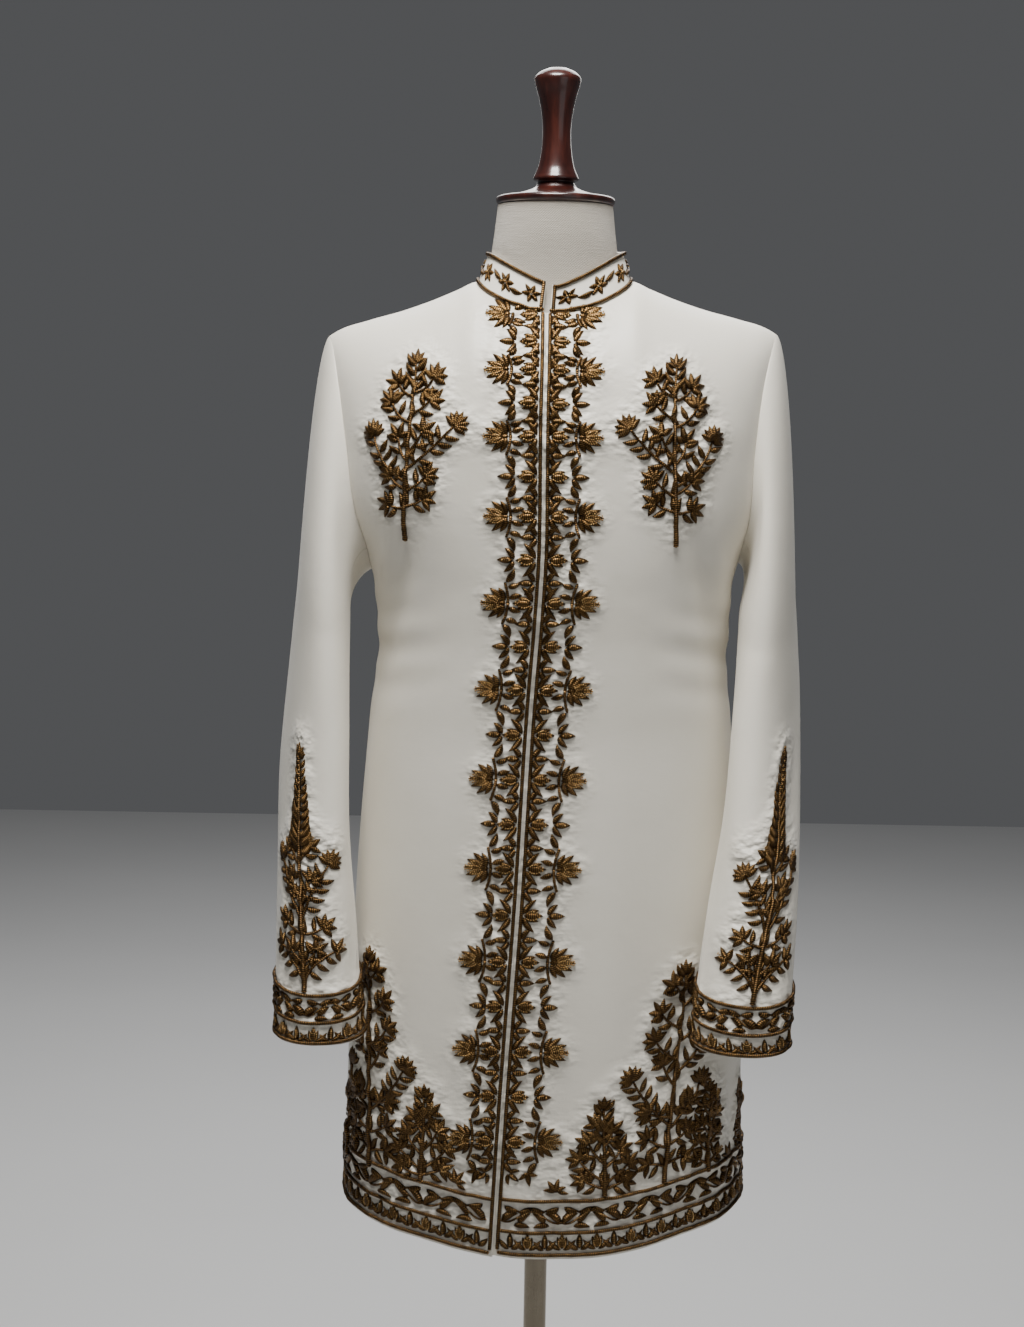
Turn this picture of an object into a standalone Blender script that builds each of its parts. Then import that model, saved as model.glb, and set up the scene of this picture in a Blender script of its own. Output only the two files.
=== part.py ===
"""A knee-length sherwani coat, standing on a limbless dress form with a turned wooden neck block and a round base.

Metres, +Z up. The coat's front faces -Y and the wearer's left is +X. The origin is on the floor, on the pole's axis.
The trunk is one surface of level sections, from the hem to the shoulder line. Each panel is a grid on that surface,
and each sleeve runs from its armhole, a loop on the same surface, through tilted oval rings to the cuff.
"""

from collections import namedtuple
from math import cos, pi, sin

import bpy
import numpy as np

# Cloth and seams
WALL = 0.0020
SEAM = 0.0003
LAP_RISE = 0.0031
LAP_BLEND = 0.080
LAP_END = (1.425, 1.460)
UNDERLAP = 0.012
UNDERLAP_END = (1.400, 1.425)
BUTT_GAP = 0.0006
CORD_RADIUS = 0.0012
CORD_INSET = {-1: 0.0028, 1: 0.0040}
HEM_CORDS = (0.004, 0.025, 0.055)
CUFF_CORDS = (0.004, 0.026, 0.052)

# Grid of the cloth pieces
NECK_STEPS = 6
SHOULDER_STEPS = 5
HALF_STEPS = NECK_STEPS + SHOULDER_STEPS
SLEEVE_COLUMNS = 20
YOKE_ROWS = SLEEVE_COLUMNS // 2
CAP_STEPS = (0.0, 0.12, 0.28, 0.48, 0.72, 1.0)
TRUNK_HEIGHTS = (0.700, 0.775, 0.850, 0.925, 0.995, 1.055, 1.105, 1.150, 1.190)

# Trunk: how square its sections are, and how far below the shoulder line the cloth turns vertical
SECTION_POWER = 2.3
FRONT_ROUND = 0.160
BACK_ROUND = 0.130
SHOULDER_TILT = 0.020
NAPE_RISE = 0.020

Section = namedtuple("Section", "height half centre front back")
SECTIONS = (
    Section(0.560, 0.1960, 0.0045, 0.1520, 0.1360),
    Section(0.650, 0.1950, 0.0040, 0.1490, 0.1340),
    Section(0.800, 0.1915, 0.0040, 0.1420, 0.1300),
    Section(0.920, 0.1865, 0.0045, 0.1350, 0.1240),
    Section(1.010, 0.1810, 0.0045, 0.1290, 0.1170),
    Section(1.080, 0.1760, 0.0045, 0.1250, 0.1110),
    Section(1.150, 0.1690, 0.0050, 0.1250, 0.1080),
    Section(1.200, 0.1705, 0.0045, 0.1270, 0.1120),
    Section(1.235, 0.1800, 0.0035, 0.1280, 0.1160),
    Section(1.280, 0.1990, 0.0010, 0.1270, 0.1200),
    Section(1.340, 0.2080, -0.0010, 0.1240, 0.1220),
    Section(1.400, 0.2150, -0.0015, 0.1210, 0.1200),
    Section(1.460, 0.2230, 0.0000, 0.1200, 0.1180),
    Section(1.520, 0.2280, 0.0000, 0.1200, 0.1180),
)

# Shoulder line: distance from the middle, and height
Shoulder = namedtuple("Shoulder", "reach height")
SHOULDER = (
    Shoulder(0.0000, 1.4930),
    Shoulder(0.0400, 1.4955),
    Shoulder(0.0727, 1.4985),
    Shoulder(0.0927, 1.4905),
    Shoulder(0.1144, 1.4815),
    Shoulder(0.1430, 1.4715),
    Shoulder(0.1775, 1.4620),
    Shoulder(0.2064, 1.4525),
    Shoulder(0.2200, 1.4440),
    Shoulder(0.2500, 1.4200),
)
SHOULDER_TIP = 0.2150

# The drape's creases, from the underarm down the side of the front, and the soft waves of the skirt
Crease = namedtuple("Crease", "side top_across top low_across low depth")
CREASES = (
    Crease(-1, 0.132, 1.255, 0.176, 1.060, 0.0060),
    Crease(1, 0.140, 1.245, 0.180, 1.070, 0.0060),
)
CREASE_WIDTH = 0.012
SKIRT_TOP = 1.00
SKIRT_WAVE = 0.0050

# Neckline and collar
NECK_HALF = 0.0727
NECK_FRONT_DROP = 0.0275
NECK_BACK_DROP = 0.0200
COLLAR_HALF = 0.0640
COLLAR_FRONT = 0.0580
COLLAR_BACK = 0.0560
COLLAR_HEIGHTS = (1.4915, 1.5265, 1.5375)
COLLAR_DIP = 1.25
COLLAR_ROWS = 2
COLLAR_LEAN = 0.30

# Where the two fronts meet, seen from the front
Edge = namedtuple("Edge", "height across")
FRONT_EDGE = (
    Edge(0.560, -0.0440),
    Edge(0.735, -0.0355),
    Edge(0.922, -0.0246),
    Edge(1.108, -0.0158),
    Edge(1.180, -0.0110),
    Edge(1.256, -0.0080),
    Edge(1.366, -0.0088),
    Edge(1.440, -0.0082),
    Edge(1.500, -0.0082),
)
HEM_FRONT = 0.5850
HEM_RISE = 0.0260
HEM_POINT = 0.0030

# Armholes, one for each side: armpit height, and half-widths to the front and back
ARMPIT = {-1: 1.220, 1: 1.232}
SCYE_FRONT = 0.0540
SCYE_BACK = 0.0600
SCYE_LEAN = 0.24

# Sleeves: outer and inner edge as seen from the front, centre in y, half-depth along the ring's long axis, its turn
Ring = namedtuple("Ring", "height outer inner middle deep turn")
SLEEVES = {
    -1: (
        Ring(1.185, 0.2455, 0.1904, -0.014, 0.072, 8),
        Ring(1.100, 0.2521, 0.1890, -0.032, 0.069, 14),
        Ring(1.000, 0.2566, 0.1869, -0.056, 0.062, 18),
        Ring(0.900, 0.2547, 0.1775, -0.082, 0.052, 18),
        Ring(0.820, 0.2512, 0.1713, -0.103, 0.041, 10),
        Ring(0.789, 0.2505, 0.1672, -0.111, 0.037, 6),
    ),
    1: (
        Ring(1.185, 0.2410, 0.1825, -0.021, 0.071, 11),
        Ring(1.100, 0.2445, 0.1760, -0.047, 0.068, 20),
        Ring(1.000, 0.2427, 0.1665, -0.083, 0.060, 25),
        Ring(0.900, 0.2369, 0.1505, -0.119, 0.048, 23),
        Ring(0.820, 0.2300, 0.1410, -0.143, 0.038, 12),
        Ring(0.794, 0.2283, 0.1404, -0.150, 0.035, 7),
    ),
}
RING_POWER = 2.2
CAP_LEAVE = 0.055
SLEEVE_HEIGHTS = (1.140, 1.090, 1.040, 0.990, 0.940, 0.895, 0.855)
FRONT_SEAM = 140.0
BACK_SEAM = 248.0

# Dress form: the torso is the coat's own section, this far inside the cloth
FORM_EASE = 0.0080
FORM_SHOULDER_EASE = 0.0034
FORM_EASE_HEIGHTS = (1.36, 1.44)
FORM_WAIST = 1.20
FORM_NECK_START = 1.42
FORM_EDGE = 0.015
FORM_BOTTOM = 0.8800
FORM_TOP = 1.5700
FORM_COLUMNS = 28
NeckRing = namedtuple("NeckRing", "height half front back")
NECK = (
    NeckRing(1.430, 0.0610, 0.0620, 0.0550),
    NeckRing(1.465, 0.0606, 0.0600, 0.0545),
    NeckRing(1.485, 0.0606, 0.0525, 0.0530),
    NeckRing(1.500, 0.0606, 0.0520, 0.0520),
    NeckRing(1.520, 0.0605, 0.0525, 0.0515),
    NeckRing(1.545, 0.0578, 0.0540, 0.0535),
    NeckRing(1.580, 0.0540, 0.0540, 0.0540),
)
FORM_HEIGHTS = (
    (0.8800, 0.8830, 0.8950, 0.9300, 0.9900, 1.0500, 1.1000, 1.1500, 1.2000, 1.2400, 1.2800, 1.3200)
    + (1.3550, 1.3850, 1.4100, 1.4280, 1.4400, 1.4490, 1.4570, 1.4650, 1.4740, 1.4850, 1.4930, 1.5000)
    + (1.5200, 1.5450, 1.5700)
)
FORM_REACH = ((1.20, 1.26, 1.32, 1.38, 1.43, 1.46), (0.160, 0.164, 0.178, 0.189, 0.196, 0.199))

# Turned pieces: radius and height down the outer side, above the piece's own base
BLOCK_PROFILE = (
    (0.0000, 0.0215),
    (0.0175, 0.0215),
    (0.0185, 0.0195),
    (0.0210, 0.0165),
    (0.0330, 0.0120),
    (0.0480, 0.0090),
    (0.0545, 0.0080),
    (0.0565, 0.0065),
    (0.0570, 0.0045),
    (0.0560, 0.0015),
    (0.0540, 0.0000),
    (0.0000, 0.0000),
)
FINIAL_PROFILE = (
    (0.0000, 0.1085),
    (0.0090, 0.1073),
    (0.0165, 0.1040),
    (0.0210, 0.1000),
    (0.0222, 0.0970),
    (0.0215, 0.0925),
    (0.0185, 0.0820),
    (0.0158, 0.0700),
    (0.0139, 0.0560),
    (0.0135, 0.0430),
    (0.0147, 0.0280),
    (0.0172, 0.0150),
    (0.0205, 0.0070),
    (0.0217, 0.0040),
    (0.0212, 0.0022),
    (0.0180, 0.0012),
    (0.0175, 0.0000),
    (0.0000, 0.0000),
)
BASE_PROFILE = (
    (0.0000, 0.0300),
    (0.0145, 0.0300),
    (0.0200, 0.0285),
    (0.0240, 0.0245),
    (0.0300, 0.0200),
    (0.0600, 0.0165),
    (0.1400, 0.0135),
    (0.1620, 0.0115),
    (0.1685, 0.0080),
    (0.1700, 0.0040),
    (0.1690, 0.0000),
    (0.0000, 0.0000),
)
BASE_TOP = 0.0300
TURNED_STEPS = 28
POLE_RADIUS = 0.0112

SLEEVE_ANGLES = np.linspace(0, 2 * pi, SLEEVE_COLUMNS + 1)[:-1]
STEP = 1e-4


def smooth(table, column, value):
    """A curve through the rows of a table, with slopes that never overshoot between them."""
    knots = np.array([row[0] for row in table])
    levels = np.array([getattr(row, column) for row in table])
    gaps = np.diff(knots)
    rises = np.diff(levels) / gaps
    mean = (rises[1:] * gaps[:-1] + rises[:-1] * gaps[1:]) / (gaps[1:] + gaps[:-1])
    limit = 2 * np.minimum(np.abs(rises[1:]), np.abs(rises[:-1]))
    inner = np.where(rises[1:] * rises[:-1] > 0, np.sign(mean) * np.minimum(np.abs(mean), limit), 0)
    slopes = np.concatenate([rises[:1], inner, rises[-1:]])
    value = np.clip(value, knots[0], knots[-1])
    i = np.clip(np.searchsorted(knots, value, side="right") - 1, 0, len(gaps) - 1)
    f = (value - knots[i]) / gaps[i]
    start = (1 + 2 * f) * (1 - f) ** 2 * levels[i] + f * (1 - f) ** 2 * gaps[i] * slopes[i]
    return start + f * f * (3 - 2 * f) * levels[i + 1] - f * f * (1 - f) * gaps[i] * slopes[i + 1]


def unit(vectors):
    return vectors / np.linalg.norm(vectors, axis=-1, keepdims=True)


def bump(distance, width):
    """1 on a line, falling to nothing on both sides of it."""
    return np.exp(-((distance / width) ** 2))


# A quarter of the section as a table: even steps along the cloth, with the place across and the depth, 0 to 1
_angle = np.linspace(0, pi / 2, 2001)
_across = np.sin(_angle) ** (2 / SECTION_POWER)
_depth = np.abs(np.cos(_angle)) ** (2 / SECTION_POWER)
_depth[-1] = 0
_girth = np.concatenate([[0], np.cumsum(np.hypot(np.diff(_across), 0.7 * np.diff(_depth)))])
QUARTER = _girth[-1]
_girth = _girth / QUARTER


def across(t):
    """Place across the trunk for a step along the cloth: -1 to 1 is the right side seam to the left one."""
    folded = np.where(np.abs(t) > 1, 2 - np.abs(t), np.abs(t))
    return np.sign(t) * np.interp(folded, _girth, _across)


def depth(t):
    folded = np.where(np.abs(t) > 1, 2 - np.abs(t), np.abs(t))
    return np.where(np.abs(t) > 1, -1, 1) * np.interp(folded, _girth, _depth)


def step_across(share):
    return np.sign(share) * np.interp(np.abs(share), _across, _girth)


def shoulder_line(x, face):
    height = smooth(SHOULDER, "height", np.abs(x)) + SHOULDER_TILT * x
    nape = NAPE_RISE * np.clip(1 - (x / NECK_HALF) ** 2, 0, 1) ** 2
    return height + (nape if face > 0 else 0)


def trunk(t, q, face):
    """The cloth's outer surface before its folds. face is -1 in front and 1 behind.

    t runs across it and q down it: q = 0 on the shoulder line, and pi / 2 where the cloth turns vertical.
    """
    t, q = np.broadcast_arrays(np.asarray(t, float), np.asarray(q, float))
    rounding = FRONT_ROUND if face < 0 else BACK_ROUND
    high = q < pi / 2
    drop = rounding * np.where(high, 1 - np.cos(q), 1 + q - pi / 2)
    bulge = np.where(high, np.sin(q), 1)
    z = 1.47 - drop
    for _ in range(12):
        x = smooth(SECTIONS, "centre", z) + smooth(SECTIONS, "half", z) * across(t)
        z = shoulder_line(x, face) - drop
    x = smooth(SECTIONS, "centre", z) + smooth(SECTIONS, "half", z) * across(t)
    y = face * smooth(SECTIONS, "front" if face < 0 else "back", z) * depth(t) * bulge
    return np.stack([x, y, z], axis=-1)


def fall(t, z, face):
    """The q of the surface at height z."""
    rounding = FRONT_ROUND if face < 0 else BACK_ROUND
    x = smooth(SECTIONS, "centre", z) + smooth(SECTIONS, "half", z) * across(t)
    drop = (shoulder_line(x, face) - z) / rounding
    return np.where(drop < 1, np.arccos(np.clip(1 - drop, -1, 1)), pi / 2 + drop - 1)


def trunk_normal(t, q, face):
    along = trunk(t + STEP, q, face) - trunk(t - STEP, q, face)
    down = trunk(t, q + STEP, face) - trunk(t, q - STEP, face)
    return unit(np.cross(down, along) * -face)


def folds(p):
    """How far the trunk's cloth stands off its plain surface, by the place p: the drape's main folds."""
    x, y, z = p[..., 0], p[..., 1], p[..., 2]
    rise = np.zeros_like(x)
    for crease in CREASES:
        start = np.array([crease.top_across, crease.top])
        run = np.array([crease.low_across, crease.low]) - start
        length = np.hypot(*run)
        reach = crease.side * x - start[0], z - start[1]
        along = (reach[0] * run[0] + reach[1] * run[1]) / length
        off = (reach[0] * run[1] - reach[1] * run[0]) / length
        ends = 1 / (1 + np.exp(-along / 0.02)) / (1 + np.exp((along - length) / 0.03))
        front = np.clip(-y / 0.03, 0, 1)
        ridge = 0.6 * bump(off + 1.3 * CREASE_WIDTH, 1.1 * CREASE_WIDTH) - bump(off, CREASE_WIDTH)
        rise = rise + crease.depth * front * ends * ridge
    turn = np.arctan2(x, -y)
    wave = np.sin(5 * turn + 0.6) * np.sin(2 * turn) ** 2
    return rise + SKIRT_WAVE * np.clip((SKIRT_TOP - z) / (SKIRT_TOP - HEM_FRONT), 0, 1) * wave


def cloth_points(t, q, face):
    """Outer points and the directions of the cloth's inner side."""
    plain = trunk(t, q, face)
    normal = trunk_normal(t, q, face)
    return plain + normal * folds(plain)[..., None], normal


def shared_edge(first, second, leave, tangent):
    """Where two cloths meet at an angle: the way to their shared inner edge, and the way from the first to the second.

    first and second are their normals there, and leave is the way in which the second cloth leaves the seam.
    """
    middle = unit(first + second)
    inward = -middle * WALL / np.clip((middle * first).sum(-1, keepdims=True), 0.6, 1)
    aside = leave - middle * (leave * middle).sum(-1, keepdims=True)
    return inward, unit(aside - tangent * (aside * tangent).sum(-1, keepdims=True))


def front_edge_step(z):
    return step_across((smooth(FRONT_EDGE, "across", z) - smooth(SECTIONS, "centre", z)) / smooth(SECTIONS, "half", z))


def cloth_step(length, z):
    """A length along the cloth as a step of t."""
    return length / (smooth(SECTIONS, "half", z) * QUARTER)


def neckline(angle, face):
    """(t, q) on the neckline: 0 is the middle and pi / 2 the end of the shoulder line."""
    x = NECK_HALF * np.sin(angle)
    drop = (NECK_FRONT_DROP if face < 0 else NECK_BACK_DROP) * np.cos(angle)
    rounding = FRONT_ROUND if face < 0 else BACK_ROUND
    z = shoulder_line(x, face) - drop
    t = step_across((x - smooth(SECTIONS, "centre", z)) / smooth(SECTIONS, "half", z))
    return t, np.arccos(1 - np.clip(drop, 0, None) / rounding)


def armhole(side, angle, face):
    """(t, q) on the armhole: angle 0 is the shoulder tip and pi the armpit."""
    tip = shoulder_line(np.array(side * SHOULDER_TIP), face)
    middle, reach = (tip + ARMPIT[side]) / 2, (tip - ARMPIT[side]) / 2
    width = SCYE_FRONT if face < 0 else SCYE_BACK
    steps = np.linspace(0.55, 1, 1200)
    t, q = [], []
    for a in np.atleast_1d(angle):
        z = middle + reach * cos(a)
        if a < 1e-6:
            share = (side * SHOULDER_TIP - smooth(SECTIONS, "centre", z)) / smooth(SECTIONS, "half", z)
            t.append(float(step_across(share)))
            q.append(0.0)
            continue
        target = width * sin(a) * (1 - SCYE_LEAN * cos(a))
        falls = fall(side * steps, np.full_like(steps, z), face)
        depths = smooth(SECTIONS, "front" if face < 0 else "back", z) * depth(steps)
        depths = depths * np.where(falls < pi / 2, np.sin(falls), 1)
        found = np.interp(-target, -depths, steps)
        t.append(side * found)
        q.append(float(np.interp(found, steps, falls)))
    return np.array(t), np.array(q)


def blend_patch(bottom, top, left, right):
    """(t, q) inside four edges, each an array of pairs. Rows run up and columns across."""
    rows, columns = len(left), len(bottom)
    u = np.linspace(0, 1, columns)[None, :, None]
    v = np.linspace(0, 1, rows)[:, None, None]
    flat = (1 - v) * bottom[None] + v * top[None]
    left_extra = left[:, None] - ((1 - v) * left[0] + v * left[-1])
    right_extra = right[:, None] - ((1 - v) * right[0] + v * right[-1])
    return flat + (1 - u) * left_extra + u * right_extra


def hem_height(t):
    return HEM_FRONT + HEM_RISE * np.sin(pi / 2 * t) ** 2


def skirt_grid(columns_at, face, side_pit):
    """(t, q) rows from the hem to the armpit. columns_at gives the row of t for a row of heights."""
    start = columns_at(HEM_FRONT)
    rows = []
    for lift in (0.0,) + HEM_CORDS:
        rows.append((start, hem_height(start) + lift))
    for height in TRUNK_HEIGHTS:
        t = columns_at(height)
        rows.append((t, np.full_like(t, height)))
    t = columns_at(np.mean(side_pit))
    rows.append((t, side_pit))
    return np.array([np.stack([t, fall(t, z, face)], axis=-1) for t, z in rows])


def line_steps(line, q):
    """t where a line, given as t at a height, crosses these q."""
    t = line(1.40)
    for _ in range(8):
        t = line(trunk(t, q, -1)[..., 2])
    return t


def neckline_start(side):
    """Angle on the neckline where the front edge's cord reaches it."""
    return side * (smooth(FRONT_EDGE, "across", 1.465) + side * CORD_INSET[side]) / NECK_HALF


def shoulder_steps(side):
    """t along the shoulder seam, from the neck's end to the tip."""
    neck_end, _ = neckline(side * pi / 2, -1)
    tip, _ = armhole(side, [0.0], -1)
    return np.linspace(neck_end, tip[0], SHOULDER_STEPS + 1)


def front_grid(side):
    """(t, q) over one front: a strip beside its edge, then from the edge's cord to the side seam and armhole."""

    def cord_line(z):
        return front_edge_step(z) + side * cloth_step(CORD_INSET[side], z)

    def edge_line(z):
        if side < 0:
            return front_edge_step(z)
        under = np.interp(z, UNDERLAP_END, (UNDERLAP, -BUTT_GAP))
        return front_edge_step(z) - cloth_step(under, z)

    def columns(z):
        return np.linspace(cord_line(z), side, HALF_STEPS + 1)

    lower = skirt_grid(columns, -1, np.full(HALF_STEPS + 1, ARMPIT[side]))
    neck_t, neck_q = neckline(side * np.linspace(neckline_start(side), pi / 2, NECK_STEPS + 1), -1)
    shoulder_t = shoulder_steps(side)[1:]
    top = np.stack([np.concatenate([neck_t, shoulder_t]), np.concatenate([neck_q, 0 * shoulder_t])], axis=-1)
    scye = np.stack(armhole(side, np.linspace(pi, 0, YOKE_ROWS + 1), -1), axis=-1)
    rise = np.linspace(lower[-1, 0, 1], neck_q[0], YOKE_ROWS + 1)
    cord_column = np.stack([line_steps(cord_line, rise), rise], axis=-1)
    upper = blend_patch(lower[-1], top, cord_column, scye)
    grid = np.concatenate([lower, upper[1:]])
    strip = np.stack([line_steps(edge_line, grid[:, 0, 1]), grid[:, 0, 1]], axis=-1)
    return np.concatenate([strip[:, None], grid], axis=1)


def back_grid():
    """(t, q) over the whole back, from the right side to the left."""

    def columns(z):
        return np.linspace(-1, 1, 2 * HALF_STEPS + 1)

    pit = np.linspace(ARMPIT[-1], ARMPIT[1], 2 * HALF_STEPS + 1)
    lower = skirt_grid(columns, 1, pit)
    neck_t, neck_q = neckline(np.linspace(-pi / 2, pi / 2, 2 * NECK_STEPS + 1), 1)
    right, left = shoulder_steps(-1)[:0:-1], shoulder_steps(1)[1:]
    top_t = np.concatenate([right, neck_t, left])
    top_q = np.concatenate([0 * right, neck_q, 0 * left])
    angles = np.linspace(pi, 0, YOKE_ROWS + 1)
    sides = [np.stack(armhole(side, angles, 1), axis=-1) for side in (-1, 1)]
    upper = blend_patch(lower[-1], np.stack([top_t, top_q], axis=-1), sides[0], sides[1])
    return np.concatenate([lower, upper[1:]])


def sleeve_axes(turn, side):
    o = np.stack([side * np.cos(turn), -np.sin(turn), 0 * turn], axis=-1)
    f = np.stack([-side * np.sin(turn), -np.cos(turn), 0 * turn], axis=-1)
    return o, f


def sleeve_rings(side, heights, angles):
    """Oval rings across the sleeve at these heights. Angle 0 is the outer side and pi / 2 the front."""
    rings = SLEEVES[side][::-1]
    heights = np.asarray(heights, float)
    outer = side * smooth(rings, "outer", heights)
    inner = side * smooth(rings, "inner", heights)
    y = smooth(rings, "middle", heights)
    deep = smooth(rings, "deep", heights)
    turn = np.radians(smooth(rings, "turn", heights))
    half = np.abs(outer - inner) / 2
    wide = np.sqrt(half**2 - (deep * np.sin(turn)) ** 2) / np.cos(turn)
    o, f = sleeve_axes(turn, side)
    c = np.sign(np.cos(angles)) * np.abs(np.cos(angles)) ** (2 / RING_POWER)
    s = np.sign(np.sin(angles)) * np.abs(np.sin(angles)) ** (2 / RING_POWER)
    centre = np.stack([(outer + inner) / 2, y, heights], axis=-1)[:, None]
    spread = (wide[:, None] * c)[..., None] * o[:, None] + (deep[:, None] * s)[..., None] * f[:, None]
    points = centre + spread
    slope = (smooth(rings, "middle", heights - 0.01) - smooth(rings, "middle", heights + 0.01)) / 0.02
    points[..., 2] -= slope[:, None] * (points[..., 1] - centre[..., 1])
    return points


def armhole_loop(side, angles):
    """Outer points and trunk normals round the armhole."""
    points, normals = [], []
    for a in angles:
        face = -1 if a <= pi else 1
        t, q = armhole(side, [a if a <= pi else 2 * pi - a], face)
        p, n = cloth_points(t, q, face)
        points.append(p[0])
        normals.append(n[0])
    return np.array(points), np.array(normals)


def armhole_edge(side):
    """Round the armhole, one row for each of the sleeve's columns: points, shared inner edge, and way to the sleeve."""
    points, normals = armhole_loop(side, SLEEVE_ANGLES)
    tangent = unit(np.roll(points, -1, axis=0) - np.roll(points, 1, axis=0))
    leave = cap_directions(side, SLEEVE_ANGLES)
    cap = unit(np.cross(leave, tangent) * side)
    cap *= np.sign((cap * normals).sum(-1).mean())
    inward, aside = shared_edge(normals, cap, leave, tangent)
    return points, inward, aside


def neck_edge(turn):
    """Round the neckline, by the turn from the front: points, shared inner edge with the collar, and the way up to it."""
    front = np.abs(turn) <= pi / 2 + 1e-9
    folded = np.where(front, turn, np.sign(turn) * (pi - np.abs(turn)))
    ahead = cloth_points(*neckline(folded, -1), -1)
    behind = cloth_points(*neckline(folded, 1), 1)
    points, normals = (np.where(front[:, None], a, b) for a, b in zip(ahead, behind))
    out = np.stack([np.sin(turn), -np.cos(turn), 0 * turn], axis=-1)
    leave = unit(np.array([0, 0, 1.0]) - COLLAR_LEAN * out)
    tangent = unit(np.gradient(points, axis=0))
    inward, aside = shared_edge(normals, unit(out + [0, 0, COLLAR_LEAN]), leave, tangent)
    return points, inward, aside


def cap_directions(side, angles):
    """The way the sleeve's cloth leaves the armhole."""
    top = (1 + np.cos(angles)) / 2
    out = 0.92 - 0.16 * top
    front = 0.30 * np.sin(angles)
    return unit(np.stack([side * out, -front, -0.35 - 0.30 * top], axis=-1))


def sleeve_surface(side, steps, heights, angles):
    """The sleeve's outer surface: the cap from the armhole to the first ring, then the rings."""
    loop, _ = armhole_loop(side, angles)
    directions = cap_directions(side, angles)
    first = SLEEVES[side][0].height
    ring, below = sleeve_rings(side, [first, first - 0.01], angles)
    reach = np.linalg.norm(ring - loop, axis=-1, keepdims=True)
    leave, arrive = directions * np.minimum(0.9 * reach, CAP_LEAVE), unit(below - ring) * reach
    s = np.asarray(steps, float)[:, None, None]
    cap = (
        (1 + 2 * s) * (1 - s) ** 2 * loop
        + s * (1 - s) ** 2 * leave
        + s * s * (3 - 2 * s) * ring
        - s * s * (1 - s) * arrive
    )
    return np.concatenate([cap, sleeve_rings(side, heights, angles)])


def tube_normals(grid, side):
    around = np.roll(grid, -1, axis=1) - np.roll(grid, 1, axis=1)
    down = np.gradient(grid, axis=0)
    return unit(np.cross(around, down) * side)


def cuff_heights(side):
    end = SLEEVES[side][-1].height
    return [end + lift for lift in CUFF_CORDS[::-1]] + [end]


def collar_turns():
    """Turns round the neckline where its pieces have their points, from the right front end to the left one."""
    right = np.linspace(neckline_start(-1), pi / 2, NECK_STEPS + 1)
    left = np.linspace(neckline_start(1), pi / 2, NECK_STEPS + 1)
    behind = np.linspace(pi / 2, pi, NECK_STEPS + 1)
    return np.concatenate([-right, -behind[1:], behind[-2:0:-1], left[::-1]])


def collar_top(turn, foot):
    """The collar's upper edge over its foot."""
    low, side, high = COLLAR_HEIGHTS
    ahead = np.cos(turn) > 0
    front = low + (side - low) * np.abs(np.sin(turn)) ** COLLAR_DIP
    height = np.where(ahead, front, side + (high - side) * np.cos(turn) ** 2)
    deep = np.where(ahead, COLLAR_FRONT, COLLAR_BACK)
    return np.stack(
        [COLLAR_HALF * np.sin(turn) + 0.0015, -deep * np.cos(turn), height + SHOULDER_TILT * foot[:, 0]], axis=-1
    )


def material(name, colour, roughness, metallic):
    made = bpy.data.materials.new(name)
    made.use_nodes = True
    shader = made.node_tree.nodes["Principled BSDF"]
    shader.inputs["Base Color"].default_value = (*colour, 1)
    shader.inputs["Roughness"].default_value = roughness
    shader.inputs["Metallic"].default_value = metallic
    return made


def add(name, data, look):
    obj = bpy.data.objects.new(name, data)
    data.materials.append(look)
    coat.objects.link(obj)
    return obj


def cloth_piece(name, outer, inner, look):
    """A wall lofted between its outer and inner grids, closed round the rim."""
    rows, columns = outer.shape[:2]
    index = np.arange(rows * columns).reshape(rows, columns)
    quads = np.stack([index[:-1, :-1], index[:-1, 1:], index[1:, 1:], index[1:, :-1]], -1).reshape(-1, 4)
    rim = np.concatenate([index[0], index[1:, -1], index[-1, -2::-1], index[-2:0:-1, 0]])
    after = np.roll(rim, -1)
    far = rows * columns
    walls = np.stack([after, rim, rim + far, after + far], -1)
    faces = np.concatenate([quads, quads[:, ::-1] + far, walls])
    a, b, c = (outer.reshape(-1, 3)[quads[:, i]] for i in (0, 1, 2))
    thick = (outer - inner).reshape(-1, 3)[quads[:, 0]]
    if (np.cross(b - a, c - a) * thick).sum() < 0:
        faces = faces[:, ::-1]
    data = bpy.data.meshes.new(name)
    data.from_pydata(np.concatenate([outer.reshape(-1, 3), inner.reshape(-1, 3)]), [], faces.tolist())
    data.shade_smooth()
    data.set_sharp_from_angle(angle=0.8)
    return add(name, data, look)


def cord(name, points, look, closed=False):
    """A couched cord: a thin tube through these points."""
    data = bpy.data.curves.new(name, "CURVE")
    data.dimensions = "3D"
    data.bevel_depth = CORD_RADIUS
    data.bevel_resolution = 0
    data.use_fill_caps = True
    spline = data.splines.new("POLY")
    spline.points.add(len(points) - 1)
    spline.use_cyclic_u = closed
    for point, place in zip(spline.points, points):
        point.co = (*place, 1)
    return add(name, data, look)


def turned(name, profile, base, look):
    """A piece turned round the pole's axis, from its profile in a plane."""
    data = bpy.data.meshes.new(name)
    corners = [(radius, 0, height) for radius, height in profile]
    data.from_pydata(corners, [(i, i + 1) for i in range(len(corners) - 1)], [])
    obj = add(name, data, look)
    obj.location.z = base
    screw = obj.modifiers.new("turn", "SCREW")
    screw.steps = screw.render_steps = TURNED_STEPS
    screw.use_merge_vertices = True
    screw.merge_threshold = 1e-5
    screw.use_smooth_shade = True
    return obj


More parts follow.
